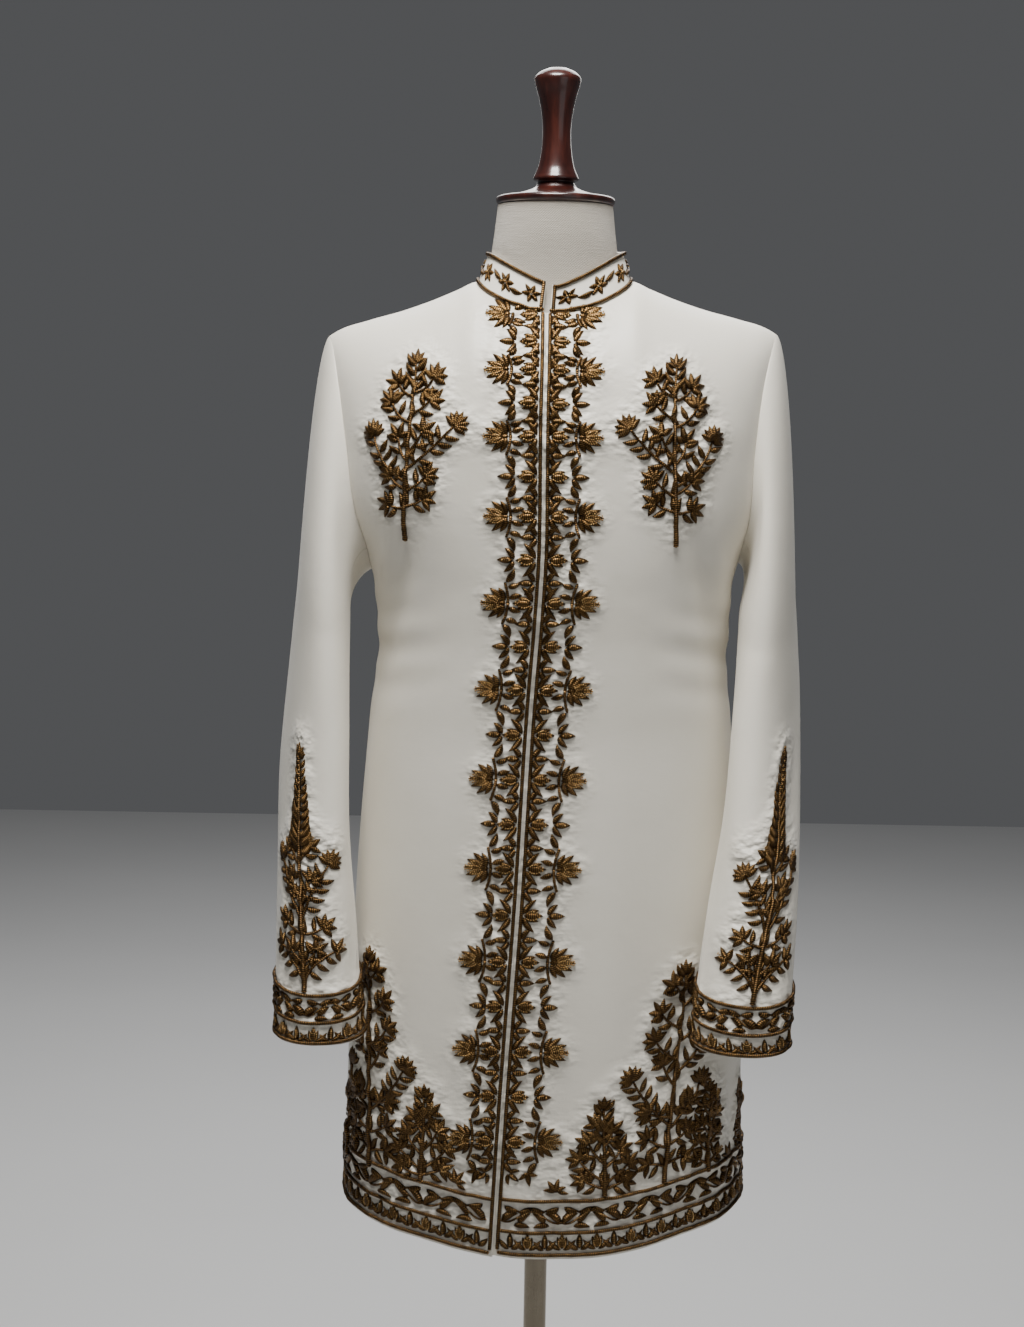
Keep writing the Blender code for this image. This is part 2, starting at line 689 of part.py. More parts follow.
def ring_stack(name, rings, look):
    """A closed body through rings of equal counts, with flat ends."""
    count, columns = rings.shape[:2]
    index = np.arange(count * columns).reshape(count, columns)
    after = np.roll(index, -1, axis=1)
    sides = np.stack([index[:-1], after[:-1], after[1:], index[1:]], -1).reshape(-1, 4).tolist()
    data = bpy.data.meshes.new(name)
    data.from_pydata(rings.reshape(-1, 3), [], sides + [index[0, ::-1].tolist(), index[-1].tolist()])
    data.shade_smooth()
    data.set_sharp_from_angle(angle=0.9)
    return add(name, data, look)


def lap(side, grid):
    """The right front rides over the left one near its edge."""
    if side > 0:
        return np.zeros(grid.shape[:2])
    points = trunk(grid[..., 0], grid[..., 1], -1)
    off = (grid[..., :1, 0] - grid[..., 0]) * smooth(SECTIONS, "half", points[..., 2]) * QUARTER
    f = np.clip(1 - off / LAP_BLEND, 0, 1)
    return LAP_RISE * f * f * (3 - 2 * f) * np.interp(points[..., 2], LAP_END, (1, 0))


def build_fronts(look):
    made = {}
    for side, name in ((-1, "front_right"), (1, "front_left")):
        grid = front_grid(side)
        outer, normal = cloth_points(grid[..., 0], grid[..., 1], -1)
        outer = outer + normal * lap(side, grid)[..., None]
        inward = -normal * WALL
        pit = len(grid) - YOKE_ROWS - 1
        inward[pit:, -1] = armhole_edge(side)[1][YOKE_ROWS::-1]
        turns = side * np.linspace(neckline_start(side), pi / 2, NECK_STEPS + 1)
        inward[-1, 1 : NECK_STEPS + 2] = neck_edge(turns)[1]
        inward[-1, 0] = inward[-1, 1]
        outer[: pit + 1, -1, 1] -= SEAM / 2
        outer[-1, NECK_STEPS + 1 :, 1] -= SEAM / 2
        if side < 0:
            outer[0, :, 2] -= HEM_POINT * (1 - np.abs(grid[0, :, 0])) ** 6
        cloth_piece(name, outer, outer + inward, look)
        made[side] = outer, normal
    return made


def build_back(look):
    grid = back_grid()
    outer, normal = cloth_points(grid[..., 0], grid[..., 1], 1)
    inward = -normal * WALL
    pit = len(grid) - YOKE_ROWS - 1
    for side, column in ((-1, 0), (1, -1)):
        edge = armhole_edge(side)[1]
        inward[pit:, column] = np.concatenate([edge[YOKE_ROWS:], edge[:1]])
    neck = slice(SHOULDER_STEPS, SHOULDER_STEPS + 2 * NECK_STEPS + 1)
    turns = np.concatenate([-np.linspace(pi / 2, pi, NECK_STEPS + 1), np.linspace(pi, pi / 2, NECK_STEPS + 1)[1:]])
    inward[-1, neck] = neck_edge(turns)[1]
    outer[: pit + 1, (0, -1), 1] += SEAM / 2
    outer[-1, : SHOULDER_STEPS + 1, 1] += SEAM / 2
    outer[-1, -SHOULDER_STEPS - 1 :, 1] += SEAM / 2
    cloth_piece("back", outer, outer + inward, look)
    return outer, normal


def build_sleeve(side, name, look, thread):
    outer = sleeve_surface(side, CAP_STEPS, list(SLEEVE_HEIGHTS) + cuff_heights(side), SLEEVE_ANGLES)
    normal = tube_normals(outer, side)
    inward = -normal * WALL
    _, inward[0], aside = armhole_edge(side)
    outer[0] += aside * SEAM
    front = round(SLEEVE_COLUMNS * FRONT_SEAM / 360)
    back = round(SLEEVE_COLUMNS * BACK_SEAM / 360)
    inner = outer + inward
    around = unit(np.roll(outer, -1, axis=1) - np.roll(outer, 1, axis=1)) * SEAM * 0.75
    pieces = (
        ("upper", np.arange(back - SLEEVE_COLUMNS, front + 1)),
        ("under", np.arange(front, back + 1)),
    )
    for part, columns in pieces:
        shift = np.zeros((len(outer), len(columns), 3))
        shift[:, 0] = around[:, columns[0]]
        shift[:, -1] = -around[:, columns[-1]]
        cloth_piece(f"sleeve_{name}_{part}", outer[:, columns] + shift, inner[:, columns] + shift, look)
    lifted = outer + normal * (CORD_RADIUS + SEAM)
    for number, row in enumerate((-2, -3, -4), 1):
        cord(f"cord_cuff_{name}_{number}", lifted[row], thread, closed=True)


def build_collar(look, thread):
    turns = collar_turns()
    foot, mitre, up = neck_edge(turns)
    foot = foot + up * SEAM
    rise = np.linspace(0, 1, COLLAR_ROWS + 1)[:, None, None]
    outer = foot + rise * (collar_top(turns, foot) - foot)
    normal = unit(np.cross(np.gradient(outer, axis=1), np.gradient(outer, axis=0)))
    normal *= np.sign((normal * outer * [1, 1, 0]).sum())
    inward = -normal * WALL
    inward[0] = mitre
    cloth_piece("collar", outer, outer + inward, look)
    lifted = outer + normal * (CORD_RADIUS + 2 * SEAM)
    cord("cord_collar_base", lifted[0] * 0.75 + lifted[1] * 0.25, thread)
    cord("cord_collar_top", lifted[-1] * 0.85 + lifted[-2] * 0.15, thread)


def build_trunk_cords(fronts, back, look):
    lift = CORD_RADIUS + SEAM
    for side, name in ((-1, "right"), (1, "left")):
        outer, normal = fronts[side]
        line = (outer + normal * lift)[:, 1]
        ends = 0.5 * (line[:1] + line[1:2]), 0.75 * line[-1:] + 0.25 * line[-2:-1]
        cord(f"cord_front_{name}", np.concatenate([ends[0], line[1:-1], ends[1]]), look)
    for row in range(1, len(HEM_CORDS) + 1):
        right, left = ((outer + normal * lift)[row] for outer, normal in (fronts[-1], fronts[1]))
        behind = (back[0] + back[1] * lift)[row]
        starts = [0.82 * line[1:2] + 0.18 * line[2:3] for line in (right, left)]
        points = np.concatenate([starts[0], right[2:-1], behind, left[-2:1:-1], starts[1]])
        cord(f"cord_hem_{row}", points, look)


def form_reach(angle, z):
    """How far the dress form reaches from its axis, at an angle from the front and a height."""
    ray = np.linspace(0.0, 0.2, 401)
    face = -1 if cos(angle) >= 0 else 1
    x, y = ray * sin(angle), ray * abs(cos(angle))
    ease = np.interp(z, FORM_EASE_HEIGHTS, (FORM_EASE, FORM_SHOULDER_EASE)) + WALL
    half = float(smooth(SECTIONS, "half", z)) - ease
    if z >= FORM_WAIST:
        half = min(half, float(np.interp(z, *FORM_REACH)))
    share = np.clip(np.abs(x - float(smooth(SECTIONS, "centre", z))) / half, 0, 1)
    rounding = FRONT_ROUND if face < 0 else BACK_ROUND
    drop = np.clip((shoulder_line(x, -1) - ease - z) / rounding, 0, 1)
    limit = (float(smooth(SECTIONS, "front" if face < 0 else "back", z)) - ease) * depth(step_across(share))
    limit = limit * np.sqrt(1 - (1 - drop) ** 2)
    inside = np.nonzero((y <= limit) & (share < 1) & (drop > 0))[0]
    return ray[inside[-1]] if len(inside) else 0.0


def build_form(look):
    angles = np.linspace(0, 2 * pi, FORM_COLUMNS + 1)[:-1]
    rings = []
    for z in FORM_HEIGHTS:
        deep = np.where(np.cos(angles) > 0, smooth(NECK, "front", z), smooth(NECK, "back", z))
        neck = 1 / np.hypot(np.sin(angles) / smooth(NECK, "half", z), np.cos(angles) / deep)
        torso = np.array([form_reach(a, z) for a in angles])
        reach = np.maximum(neck, torso) if z > FORM_NECK_START else torso
        reach = reach * (1 - 0.06 * np.clip(1 - (z - FORM_BOTTOM) / FORM_EDGE, 0, 1) ** 2)
        rings.append(np.stack([reach * np.sin(angles), -reach * np.cos(angles), np.full_like(angles, z)], -1))
    return ring_stack("form_torso", np.array(rings), look)


def build_stand(wood, steel, dark):
    block_base = FORM_TOP + SEAM
    turned("neck_block", BLOCK_PROFILE, block_base, wood)
    turned("finial", FINIAL_PROFILE, block_base + BLOCK_PROFILE[0][1] + SEAM, wood)
    turned("stand_base", BASE_PROFILE, 0, dark)
    bottom, top = BASE_TOP + SEAM, FORM_BOTTOM - SEAM
    bpy.ops.mesh.primitive_cylinder_add(
        vertices=TURNED_STEPS, radius=POLE_RADIUS, depth=top - bottom, location=(0, 0, (top + bottom) / 2)
    )
    pole = bpy.context.object
    pole.name = pole.data.name = "stand_pole"
    pole.data.materials.append(steel)
    pole.data.shade_smooth()
    pole.data.set_sharp_from_angle(angle=0.8)
    for home in list(pole.users_collection):
        home.objects.unlink(pole)
    coat.objects.link(pole)


for old in list(bpy.data.objects):
    bpy.data.objects.remove(old)
coat = bpy.data.collections.new("sherwani_on_dress_form")
bpy.context.scene.collection.children.link(coat)

ivory = material("ivory_cloth", (0.80, 0.77, 0.70), 0.55, 0.0)
gold = material("metal_thread", (0.20, 0.13, 0.06), 0.40, 0.8)
linen = material("linen", (0.55, 0.50, 0.43), 0.85, 0.0)
mahogany = material("mahogany", (0.16, 0.05, 0.03), 0.25, 0.0)
nickel = material("nickel", (0.62, 0.58, 0.50), 0.25, 1.0)
bronze = material("base_metal", (0.20, 0.18, 0.16), 0.45, 0.9)

front_points = build_fronts(ivory)
back_points = build_back(ivory)
build_sleeve(-1, "right", ivory, gold)
build_sleeve(1, "left", ivory, gold)
build_collar(ivory, gold)
build_trunk_cords(front_points, back_points, gold)
build_form(linen)
build_stand(mahogany, nickel, bronze)
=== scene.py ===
"""Looks of a sherwani coat on a limbless dress form, with a turned wooden finial and a round base.

Metres, +Z up, the coat's front towards -Y and the wearer's left towards +X, as in the frame. The
surface functions are the model's own, evaluated on finer grids. The embroidery is drawn as flat
patterns of leaves, beads and stems in metres, and each pattern is laid on the cloth by a function from
the flat panel to the surface.
"""

from collections import namedtuple
from math import cos, pi, radians, sin

import bpy
import numpy as np
from mathutils import Matrix, Vector


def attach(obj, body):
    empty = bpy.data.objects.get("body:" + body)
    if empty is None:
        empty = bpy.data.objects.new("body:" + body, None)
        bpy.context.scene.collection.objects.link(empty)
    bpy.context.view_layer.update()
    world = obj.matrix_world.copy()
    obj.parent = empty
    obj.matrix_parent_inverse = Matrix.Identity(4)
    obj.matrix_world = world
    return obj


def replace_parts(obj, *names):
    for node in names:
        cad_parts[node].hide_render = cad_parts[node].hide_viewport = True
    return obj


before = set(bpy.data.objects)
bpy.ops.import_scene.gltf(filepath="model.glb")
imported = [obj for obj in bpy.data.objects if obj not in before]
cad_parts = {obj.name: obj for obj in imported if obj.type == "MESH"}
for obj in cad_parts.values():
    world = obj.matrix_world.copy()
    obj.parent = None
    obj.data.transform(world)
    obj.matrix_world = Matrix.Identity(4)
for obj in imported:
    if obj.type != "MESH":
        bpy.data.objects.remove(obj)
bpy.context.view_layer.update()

# Camera: its place, turn and lens
CAMERA_PLACE = (-0.034, -2.33, 1.356)
CAMERA_TURN = (radians(84.443), 0, 0)
CAMERA_ROLL = radians(1.0)
LENS = 2400 / 1327 * 36

# Cloth, seams and cords, as in the model
WALL = 0.0020
SEAM = 0.0003
LAP_RISE = 0.0031
LAP_BLEND = 0.080
LAP_END = (1.425, 1.460)
UNDERLAP = 0.012
UNDERLAP_END = (1.400, 1.425)
BUTT_GAP = 0.0006
CORD_INSET = {-1: 0.0028, 1: 0.0040}
HEM_CORDS = (0.004, 0.025, 0.055)
CUFF_CORDS = (0.004, 0.026, 0.052)
CORD_RADIUS = 0.0014

# Grid of the fine cloth pieces
NECK_STEPS = 44
SHOULDER_STEPS = 40
HALF_STEPS = NECK_STEPS + SHOULDER_STEPS
BACK_NECK_STEPS = 28
BACK_SHOULDER_STEPS = 30
SLEEVE_COLUMNS = 120
YOKE_ROWS = SLEEVE_COLUMNS // 2
SKIRT_ROWS = 178
CAP_ROWS = 30
ARM_ROWS = 96
FRONT_SEAM = 144.0
BACK_SEAM = 252.0

# The trunk's sections, edges and openings, the sleeves, the form and the turned pieces
SECTION_POWER = 2.3
FRONT_ROUND = 0.160
BACK_ROUND = 0.130
SHOULDER_TILT = 0.020
NAPE_RISE = 0.020
Section = namedtuple("Section", "height half centre front back")
SECTIONS = (
    Section(0.560, 0.1960, 0.0045, 0.1520, 0.1360),
    Section(0.650, 0.1950, 0.0040, 0.1490, 0.1340),
    Section(0.800, 0.1915, 0.0040, 0.1420, 0.1300),
    Section(0.920, 0.1865, 0.0045, 0.1350, 0.1240),
    Section(1.010, 0.1810, 0.0045, 0.1290, 0.1170),
    Section(1.080, 0.1760, 0.0045, 0.1250, 0.1110),
    Section(1.150, 0.1690, 0.0050, 0.1250, 0.1080),
    Section(1.200, 0.1705, 0.0045, 0.1270, 0.1120),
    Section(1.235, 0.1800, 0.0035, 0.1280, 0.1160),
    Section(1.280, 0.1990, 0.0010, 0.1270, 0.1200),
    Section(1.340, 0.2080, -0.0010, 0.1240, 0.1220),
    Section(1.400, 0.2150, -0.0015, 0.1210, 0.1200),
    Section(1.460, 0.2230, 0.0000, 0.1200, 0.1180),
    Section(1.520, 0.2280, 0.0000, 0.1200, 0.1180),
)
Shoulder = namedtuple("Shoulder", "reach height")
SHOULDER = (
    Shoulder(0.0000, 1.4930),
    Shoulder(0.0400, 1.4955),
    Shoulder(0.0727, 1.4985),
    Shoulder(0.0927, 1.4905),
    Shoulder(0.1144, 1.4815),
    Shoulder(0.1430, 1.4715),
    Shoulder(0.1775, 1.4620),
    Shoulder(0.2064, 1.4525),
    Shoulder(0.2200, 1.4440),
    Shoulder(0.2500, 1.4200),
)
SHOULDER_TIP = 0.2150
Crease = namedtuple("Crease", "side top_across top low_across low depth")
CREASES = (
    Crease(-1, 0.132, 1.255, 0.176, 1.060, 0.0060),
    Crease(1, 0.140, 1.245, 0.180, 1.070, 0.0060),
)
CREASE_WIDTH = 0.012
SKIRT_TOP = 1.00
SKIRT_WAVE = 0.0050
NECK_HALF = 0.0727
NECK_FRONT_DROP = 0.0275
NECK_BACK_DROP = 0.0200
COLLAR_HALF = 0.0640
COLLAR_FRONT = 0.0580
COLLAR_BACK = 0.0560
COLLAR_HEIGHTS = (1.4915, 1.5265, 1.5375)
COLLAR_DIP = 1.25
COLLAR_LEAN = 0.30
Edge = namedtuple("Edge", "height across")
FRONT_EDGE = (
    Edge(0.560, -0.0440),
    Edge(0.735, -0.0355),
    Edge(0.922, -0.0246),
    Edge(1.108, -0.0158),
    Edge(1.180, -0.0110),
    Edge(1.256, -0.0080),
    Edge(1.366, -0.0088),
    Edge(1.440, -0.0082),
    Edge(1.500, -0.0082),
)
HEM_FRONT = 0.5850
HEM_RISE = 0.0260
HEM_POINT = 0.0030
ARMPIT = {-1: 1.220, 1: 1.232}
SCYE_FRONT = 0.0540
SCYE_BACK = 0.0600
SCYE_LEAN = 0.24
Ring = namedtuple("Ring", "height outer inner middle deep turn")
SLEEVES = {
    -1: (
        Ring(1.185, 0.2455, 0.1904, -0.014, 0.072, 8),
        Ring(1.100, 0.2521, 0.1890, -0.032, 0.069, 14),
        Ring(1.000, 0.2566, 0.1869, -0.056, 0.062, 18),
        Ring(0.900, 0.2547, 0.1775, -0.082, 0.052, 18),
        Ring(0.820, 0.2512, 0.1713, -0.103, 0.041, 10),
        Ring(0.789, 0.2505, 0.1672, -0.111, 0.037, 6),
    ),
    1: (
        Ring(1.185, 0.2410, 0.1825, -0.021, 0.071, 11),
        Ring(1.100, 0.2445, 0.1760, -0.047, 0.068, 20),
        Ring(1.000, 0.2427, 0.1665, -0.083, 0.060, 25),
        Ring(0.900, 0.2369, 0.1505, -0.119, 0.048, 23),
        Ring(0.820, 0.2300, 0.1410, -0.143, 0.038, 12),
        Ring(0.794, 0.2283, 0.1404, -0.150, 0.035, 7),
    ),
}
RING_POWER = 2.2
CAP_LEAVE = 0.055
FORM_EASE = 0.0080
FORM_SHOULDER_EASE = 0.0034
FORM_EASE_HEIGHTS = (1.36, 1.44)
FORM_WAIST = 1.20
FORM_NECK_START = 1.42
FORM_EDGE = 0.015
FORM_BOTTOM = 0.8800
FORM_TOP = 1.5700
NeckRing = namedtuple("NeckRing", "height half front back")
NECK = (
    NeckRing(1.430, 0.0610, 0.0620, 0.0550),
    NeckRing(1.465, 0.0606, 0.0600, 0.0545),
    NeckRing(1.485, 0.0606, 0.0525, 0.0530),
    NeckRing(1.500, 0.0606, 0.0520, 0.0520),
    NeckRing(1.520, 0.0605, 0.0525, 0.0515),
    NeckRing(1.545, 0.0578, 0.0540, 0.0535),
    NeckRing(1.580, 0.0540, 0.0540, 0.0540),
)
FORM_REACH = ((1.20, 1.26, 1.32, 1.38, 1.43, 1.46), (0.160, 0.164, 0.178, 0.189, 0.196, 0.199))
BLOCK_PROFILE = (
    (0.0000, 0.0215),
    (0.0175, 0.0215),
    (0.0185, 0.0195),
    (0.0210, 0.0165),
    (0.0330, 0.0120),
    (0.0480, 0.0090),
    (0.0545, 0.0080),
    (0.0565, 0.0065),
    (0.0570, 0.0045),
    (0.0560, 0.0015),
    (0.0540, 0.0000),
    (0.0000, 0.0000),
)
FINIAL_PROFILE = (
    (0.0000, 0.1085),
    (0.0090, 0.1073),
    (0.0165, 0.1040),
    (0.0210, 0.1000),
    (0.0222, 0.0970),
    (0.0215, 0.0925),
    (0.0185, 0.0820),
    (0.0158, 0.0700),
    (0.0139, 0.0560),
    (0.0135, 0.0430),
    (0.0147, 0.0280),
    (0.0172, 0.0150),
    (0.0205, 0.0070),
    (0.0217, 0.0040),
    (0.0212, 0.0022),
    (0.0180, 0.0012),
    (0.0175, 0.0000),
    (0.0000, 0.0000),
)
BASE_PROFILE = (
    (0.0000, 0.0300),
    (0.0145, 0.0300),
    (0.0200, 0.0285),
    (0.0240, 0.0245),
    (0.0300, 0.0200),
    (0.0600, 0.0165),
    (0.1400, 0.0135),
    (0.1620, 0.0115),
    (0.1685, 0.0080),
    (0.1700, 0.0040),
    (0.1690, 0.0000),
    (0.0000, 0.0000),
)
TURNED_STEPS = 96
STEP = 1e-4


def smooth(table, column, value):
    """A curve through the rows of a table, with slopes that never overshoot between them."""
    knots = np.array([row[0] for row in table])
    levels = np.array([getattr(row, column) for row in table])
    gaps = np.diff(knots)
    rises = np.diff(levels) / gaps
    mean = (rises[1:] * gaps[:-1] + rises[:-1] * gaps[1:]) / (gaps[1:] + gaps[:-1])
    limit = 2 * np.minimum(np.abs(rises[1:]), np.abs(rises[:-1]))
    inner = np.where(rises[1:] * rises[:-1] > 0, np.sign(mean) * np.minimum(np.abs(mean), limit), 0)
    slopes = np.concatenate([rises[:1], inner, rises[-1:]])
    value = np.clip(value, knots[0], knots[-1])
    i = np.clip(np.searchsorted(knots, value, side="right") - 1, 0, len(gaps) - 1)
    f = (value - knots[i]) / gaps[i]
    start = (1 + 2 * f) * (1 - f) ** 2 * levels[i] + f * (1 - f) ** 2 * gaps[i] * slopes[i]
    return start + f * f * (3 - 2 * f) * levels[i + 1] - f * f * (1 - f) * gaps[i] * slopes[i + 1]


def unit(vectors):
    """Each vector divided by its length."""
    return vectors / np.linalg.norm(vectors, axis=-1, keepdims=True)


def bump(distance, width):
    """1 on a line, falling to nothing on both sides of it."""
    return np.exp(-((distance / width) ** 2))


# A quarter of the section: even steps along the cloth, with the place across and the depth, 0 to 1
_angle = np.linspace(0, pi / 2, 2001)
_across = np.sin(_angle) ** (2 / SECTION_POWER)
_depth = np.abs(np.cos(_angle)) ** (2 / SECTION_POWER)
_depth[-1] = 0
_girth = np.concatenate([[0], np.cumsum(np.hypot(np.diff(_across), 0.7 * np.diff(_depth)))])
QUARTER = _girth[-1]
_girth = _girth / QUARTER


def across(t):
    """Place across the trunk for a step along the cloth: -1 to 1 is the right side seam to the left one."""
    folded = np.where(np.abs(t) > 1, 2 - np.abs(t), np.abs(t))
    return np.sign(t) * np.interp(folded, _girth, _across)


def depth(t):
    """The section's depth at t, as a share: the quarter's table, read backwards and negative past the
    side."""
    folded = np.where(np.abs(t) > 1, 2 - np.abs(t), np.abs(t))
    return np.where(np.abs(t) > 1, -1, 1) * np.interp(folded, _girth, _depth)


def step_across(share):
    """t from a place across, by the quarter's table read the other way, with the sign kept."""
    return np.sign(share) * np.interp(np.abs(share), _across, _girth)


def shoulder_line(x, face):
    """The shoulder line's height at x: the table's, with a tilt, and behind also a rise at the nape
    that falls off as (1 - (x / NECK_HALF)^2)^2."""
    height = smooth(SHOULDER, "height", np.abs(x)) + SHOULDER_TILT * x
    nape = NAPE_RISE * np.clip(1 - (x / NECK_HALF) ** 2, 0, 1) ** 2
    return height + (nape if face > 0 else 0)


def trunk(t, q, face):
    """The cloth's outer surface before its folds. face is -1 in front and 1 behind.

    t runs across it and q down it: q = 0 on the shoulder line, and pi / 2 where the cloth turns vertical.
    """
    t, q = np.broadcast_arrays(np.asarray(t, float), np.asarray(q, float))
    rounding = FRONT_ROUND if face < 0 else BACK_ROUND
    high = q < pi / 2
    drop = rounding * np.where(high, 1 - np.cos(q), 1 + q - pi / 2)
    bulge = np.where(high, np.sin(q), 1)
    z = 1.47 - drop
    for _ in range(12):
        x = smooth(SECTIONS, "centre", z) + smooth(SECTIONS, "half", z) * across(t)
        z = shoulder_line(x, face) - drop
    x = smooth(SECTIONS, "centre", z) + smooth(SECTIONS, "half", z) * across(t)
    y = face * smooth(SECTIONS, "front" if face < 0 else "back", z) * depth(t) * bulge
    return np.stack([x, y, z], axis=-1)


def fall(t, z, face):
    """The q of the surface at height z."""
    rounding = FRONT_ROUND if face < 0 else BACK_ROUND
    x = smooth(SECTIONS, "centre", z) + smooth(SECTIONS, "half", z) * across(t)
    drop = (shoulder_line(x, face) - z) / rounding
    return np.where(drop < 1, np.arccos(np.clip(1 - drop, -1, 1)), pi / 2 + drop - 1)


def trunk_normal(t, q, face):
    """The cross product of the ways along and down the surface, each between points STEP to either
    side, turned outward."""
    along = trunk(t + STEP, q, face) - trunk(t - STEP, q, face)
    down = trunk(t, q + STEP, face) - trunk(t, q - STEP, face)
    return unit(np.cross(down, along) * -face)


def folds(p):
    """How far the trunk's cloth stands off its plain surface, by the place p: the drape's main folds."""
    x, y, z = p[..., 0], p[..., 1], p[..., 2]
    rise = np.zeros_like(x)
    for crease in CREASES:
        start = np.array([crease.top_across, crease.top])
        run = np.array([crease.low_across, crease.low]) - start
        length = np.hypot(*run)
        reach = crease.side * x - start[0], z - start[1]
        along = (reach[0] * run[0] + reach[1] * run[1]) / length
        off = (reach[0] * run[1] - reach[1] * run[0]) / length
        ends = 1 / (1 + np.exp(-along / 0.02)) / (1 + np.exp((along - length) / 0.03))
        front = np.clip(-y / 0.03, 0, 1)
        ridge = 0.6 * bump(off + 1.3 * CREASE_WIDTH, 1.1 * CREASE_WIDTH) - bump(off, CREASE_WIDTH)
        rise = rise + crease.depth * front * ends * ridge
    turn = np.arctan2(x, -y)
    wave = np.sin(5 * turn + 0.6) * np.sin(2 * turn) ** 2
    return rise + SKIRT_WAVE * np.clip((SKIRT_TOP - z) / (SKIRT_TOP - HEM_FRONT), 0, 1) * wave


def shared_edge(first, second, leave, tangent):
    """Where two cloths meet at an angle: the way to their shared inner edge, and the way from the first
    to the second.

    first and second are their normals there, and leave is the way in which the second cloth leaves the
    seam.
    """
    middle = unit(first + second)
    inward = -middle * WALL / np.clip((middle * first).sum(-1, keepdims=True), 0.6, 1)
    aside = leave - middle * (leave * middle).sum(-1, keepdims=True)
    return inward, unit(aside - tangent * (aside * tangent).sum(-1, keepdims=True))


def front_edge_step(z):
    """t of the front edge at height z, from its place across in half widths of the section."""
    return step_across(
        (smooth(FRONT_EDGE, "across", z) - smooth(SECTIONS, "centre", z)) / smooth(SECTIONS, "half", z)
    )


def cloth_step(length, z):
    """A length along the cloth as a step of t."""
    return length / (smooth(SECTIONS, "half", z) * QUARTER)


def neckline(angle, face):
    """(t, q) on the neckline: 0 is the middle and pi / 2 the end of the shoulder line."""
    x = NECK_HALF * np.sin(angle)
    drop = (NECK_FRONT_DROP if face < 0 else NECK_BACK_DROP) * np.cos(angle)
    rounding = FRONT_ROUND if face < 0 else BACK_ROUND
    z = shoulder_line(x, face) - drop
    t = step_across((x - smooth(SECTIONS, "centre", z)) / smooth(SECTIONS, "half", z))
    return t, np.arccos(1 - np.clip(drop, 0, None) / rounding)


def armhole(side, angle, face):
    """(t, q) on the armhole: angle 0 is the shoulder tip and pi the armpit."""
    tip = shoulder_line(np.array(side * SHOULDER_TIP), face)
    middle, reach = (tip + ARMPIT[side]) / 2, (tip - ARMPIT[side]) / 2
    width = SCYE_FRONT if face < 0 else SCYE_BACK
    steps = np.linspace(0.55, 1, 1200)
    t, q = [], []
    for a in np.atleast_1d(angle):
        z = middle + reach * cos(a)
        if a < 1e-6:
            share = (side * SHOULDER_TIP - smooth(SECTIONS, "centre", z)) / smooth(SECTIONS, "half", z)
            t.append(float(step_across(share)))
            q.append(0.0)
            continue
        target = width * sin(a) * (1 - SCYE_LEAN * cos(a))
        falls = fall(side * steps, np.full_like(steps, z), face)
        depths = smooth(SECTIONS, "front" if face < 0 else "back", z) * depth(steps)
        depths = depths * np.where(falls < pi / 2, np.sin(falls), 1)
        found = np.interp(-target, -depths, steps)
        t.append(side * found)
        q.append(float(np.interp(found, steps, falls)))
    return np.array(t), np.array(q)


def blend_patch(bottom, top, left, right):
    """(t, q) inside four edges, each an array of pairs. Rows run up and columns across."""
    rows, columns = len(left), len(bottom)
    u = np.linspace(0, 1, columns)[None, :, None]
    v = np.linspace(0, 1, rows)[:, None, None]
    flat = (1 - v) * bottom[None] + v * top[None]
    left_extra = left[:, None] - ((1 - v) * left[0] + v * left[-1])
    right_extra = right[:, None] - ((1 - v) * right[0] + v * right[-1])
    return flat + (1 - u) * left_extra + u * right_extra


def line_steps(line, q):
    """t where a line, given as t at a height, crosses these q."""
    t = line(1.40)
    for _ in range(8):
        t = line(trunk(t, q, -1)[..., 2])
    return t


def neckline_start(side):
    """Angle on the neckline where the front edge's cord reaches it."""
    return side * (smooth(FRONT_EDGE, "across", 1.465) + side * CORD_INSET[side]) / NECK_HALF


def sleeve_axes(turn, side):
    """The ring's two axes in plan, outward and forward, both turned by the angle turn."""
    o = np.stack([side * np.cos(turn), -np.sin(turn), 0 * turn], axis=-1)
    f = np.stack([-side * np.sin(turn), -np.cos(turn), 0 * turn], axis=-1)
    return o, f


def cap_directions(side, angles):
    """The way the sleeve's cloth leaves the armhole."""
    top = (1 + np.cos(angles)) / 2
    out = 0.92 - 0.16 * top
    front = 0.30 * np.sin(angles)
    return unit(np.stack([side * out, -front, -0.35 - 0.30 * top], axis=-1))


def collar_top(turn, foot):
    """The collar's upper edge over its foot."""
    low, side, high = COLLAR_HEIGHTS
    ahead = np.cos(turn) > 0
    front = low + (side - low) * np.abs(np.sin(turn)) ** COLLAR_DIP
    height = np.where(ahead, front, side + (high - side) * np.cos(turn) ** 2)
    deep = np.where(ahead, COLLAR_FRONT, COLLAR_BACK)
    return np.stack(
        [
            COLLAR_HALF * np.sin(turn) + 0.0015, -deep * np.cos(turn), height + SHOULDER_TILT * foot[:, 0]
        ], axis=-1
    )


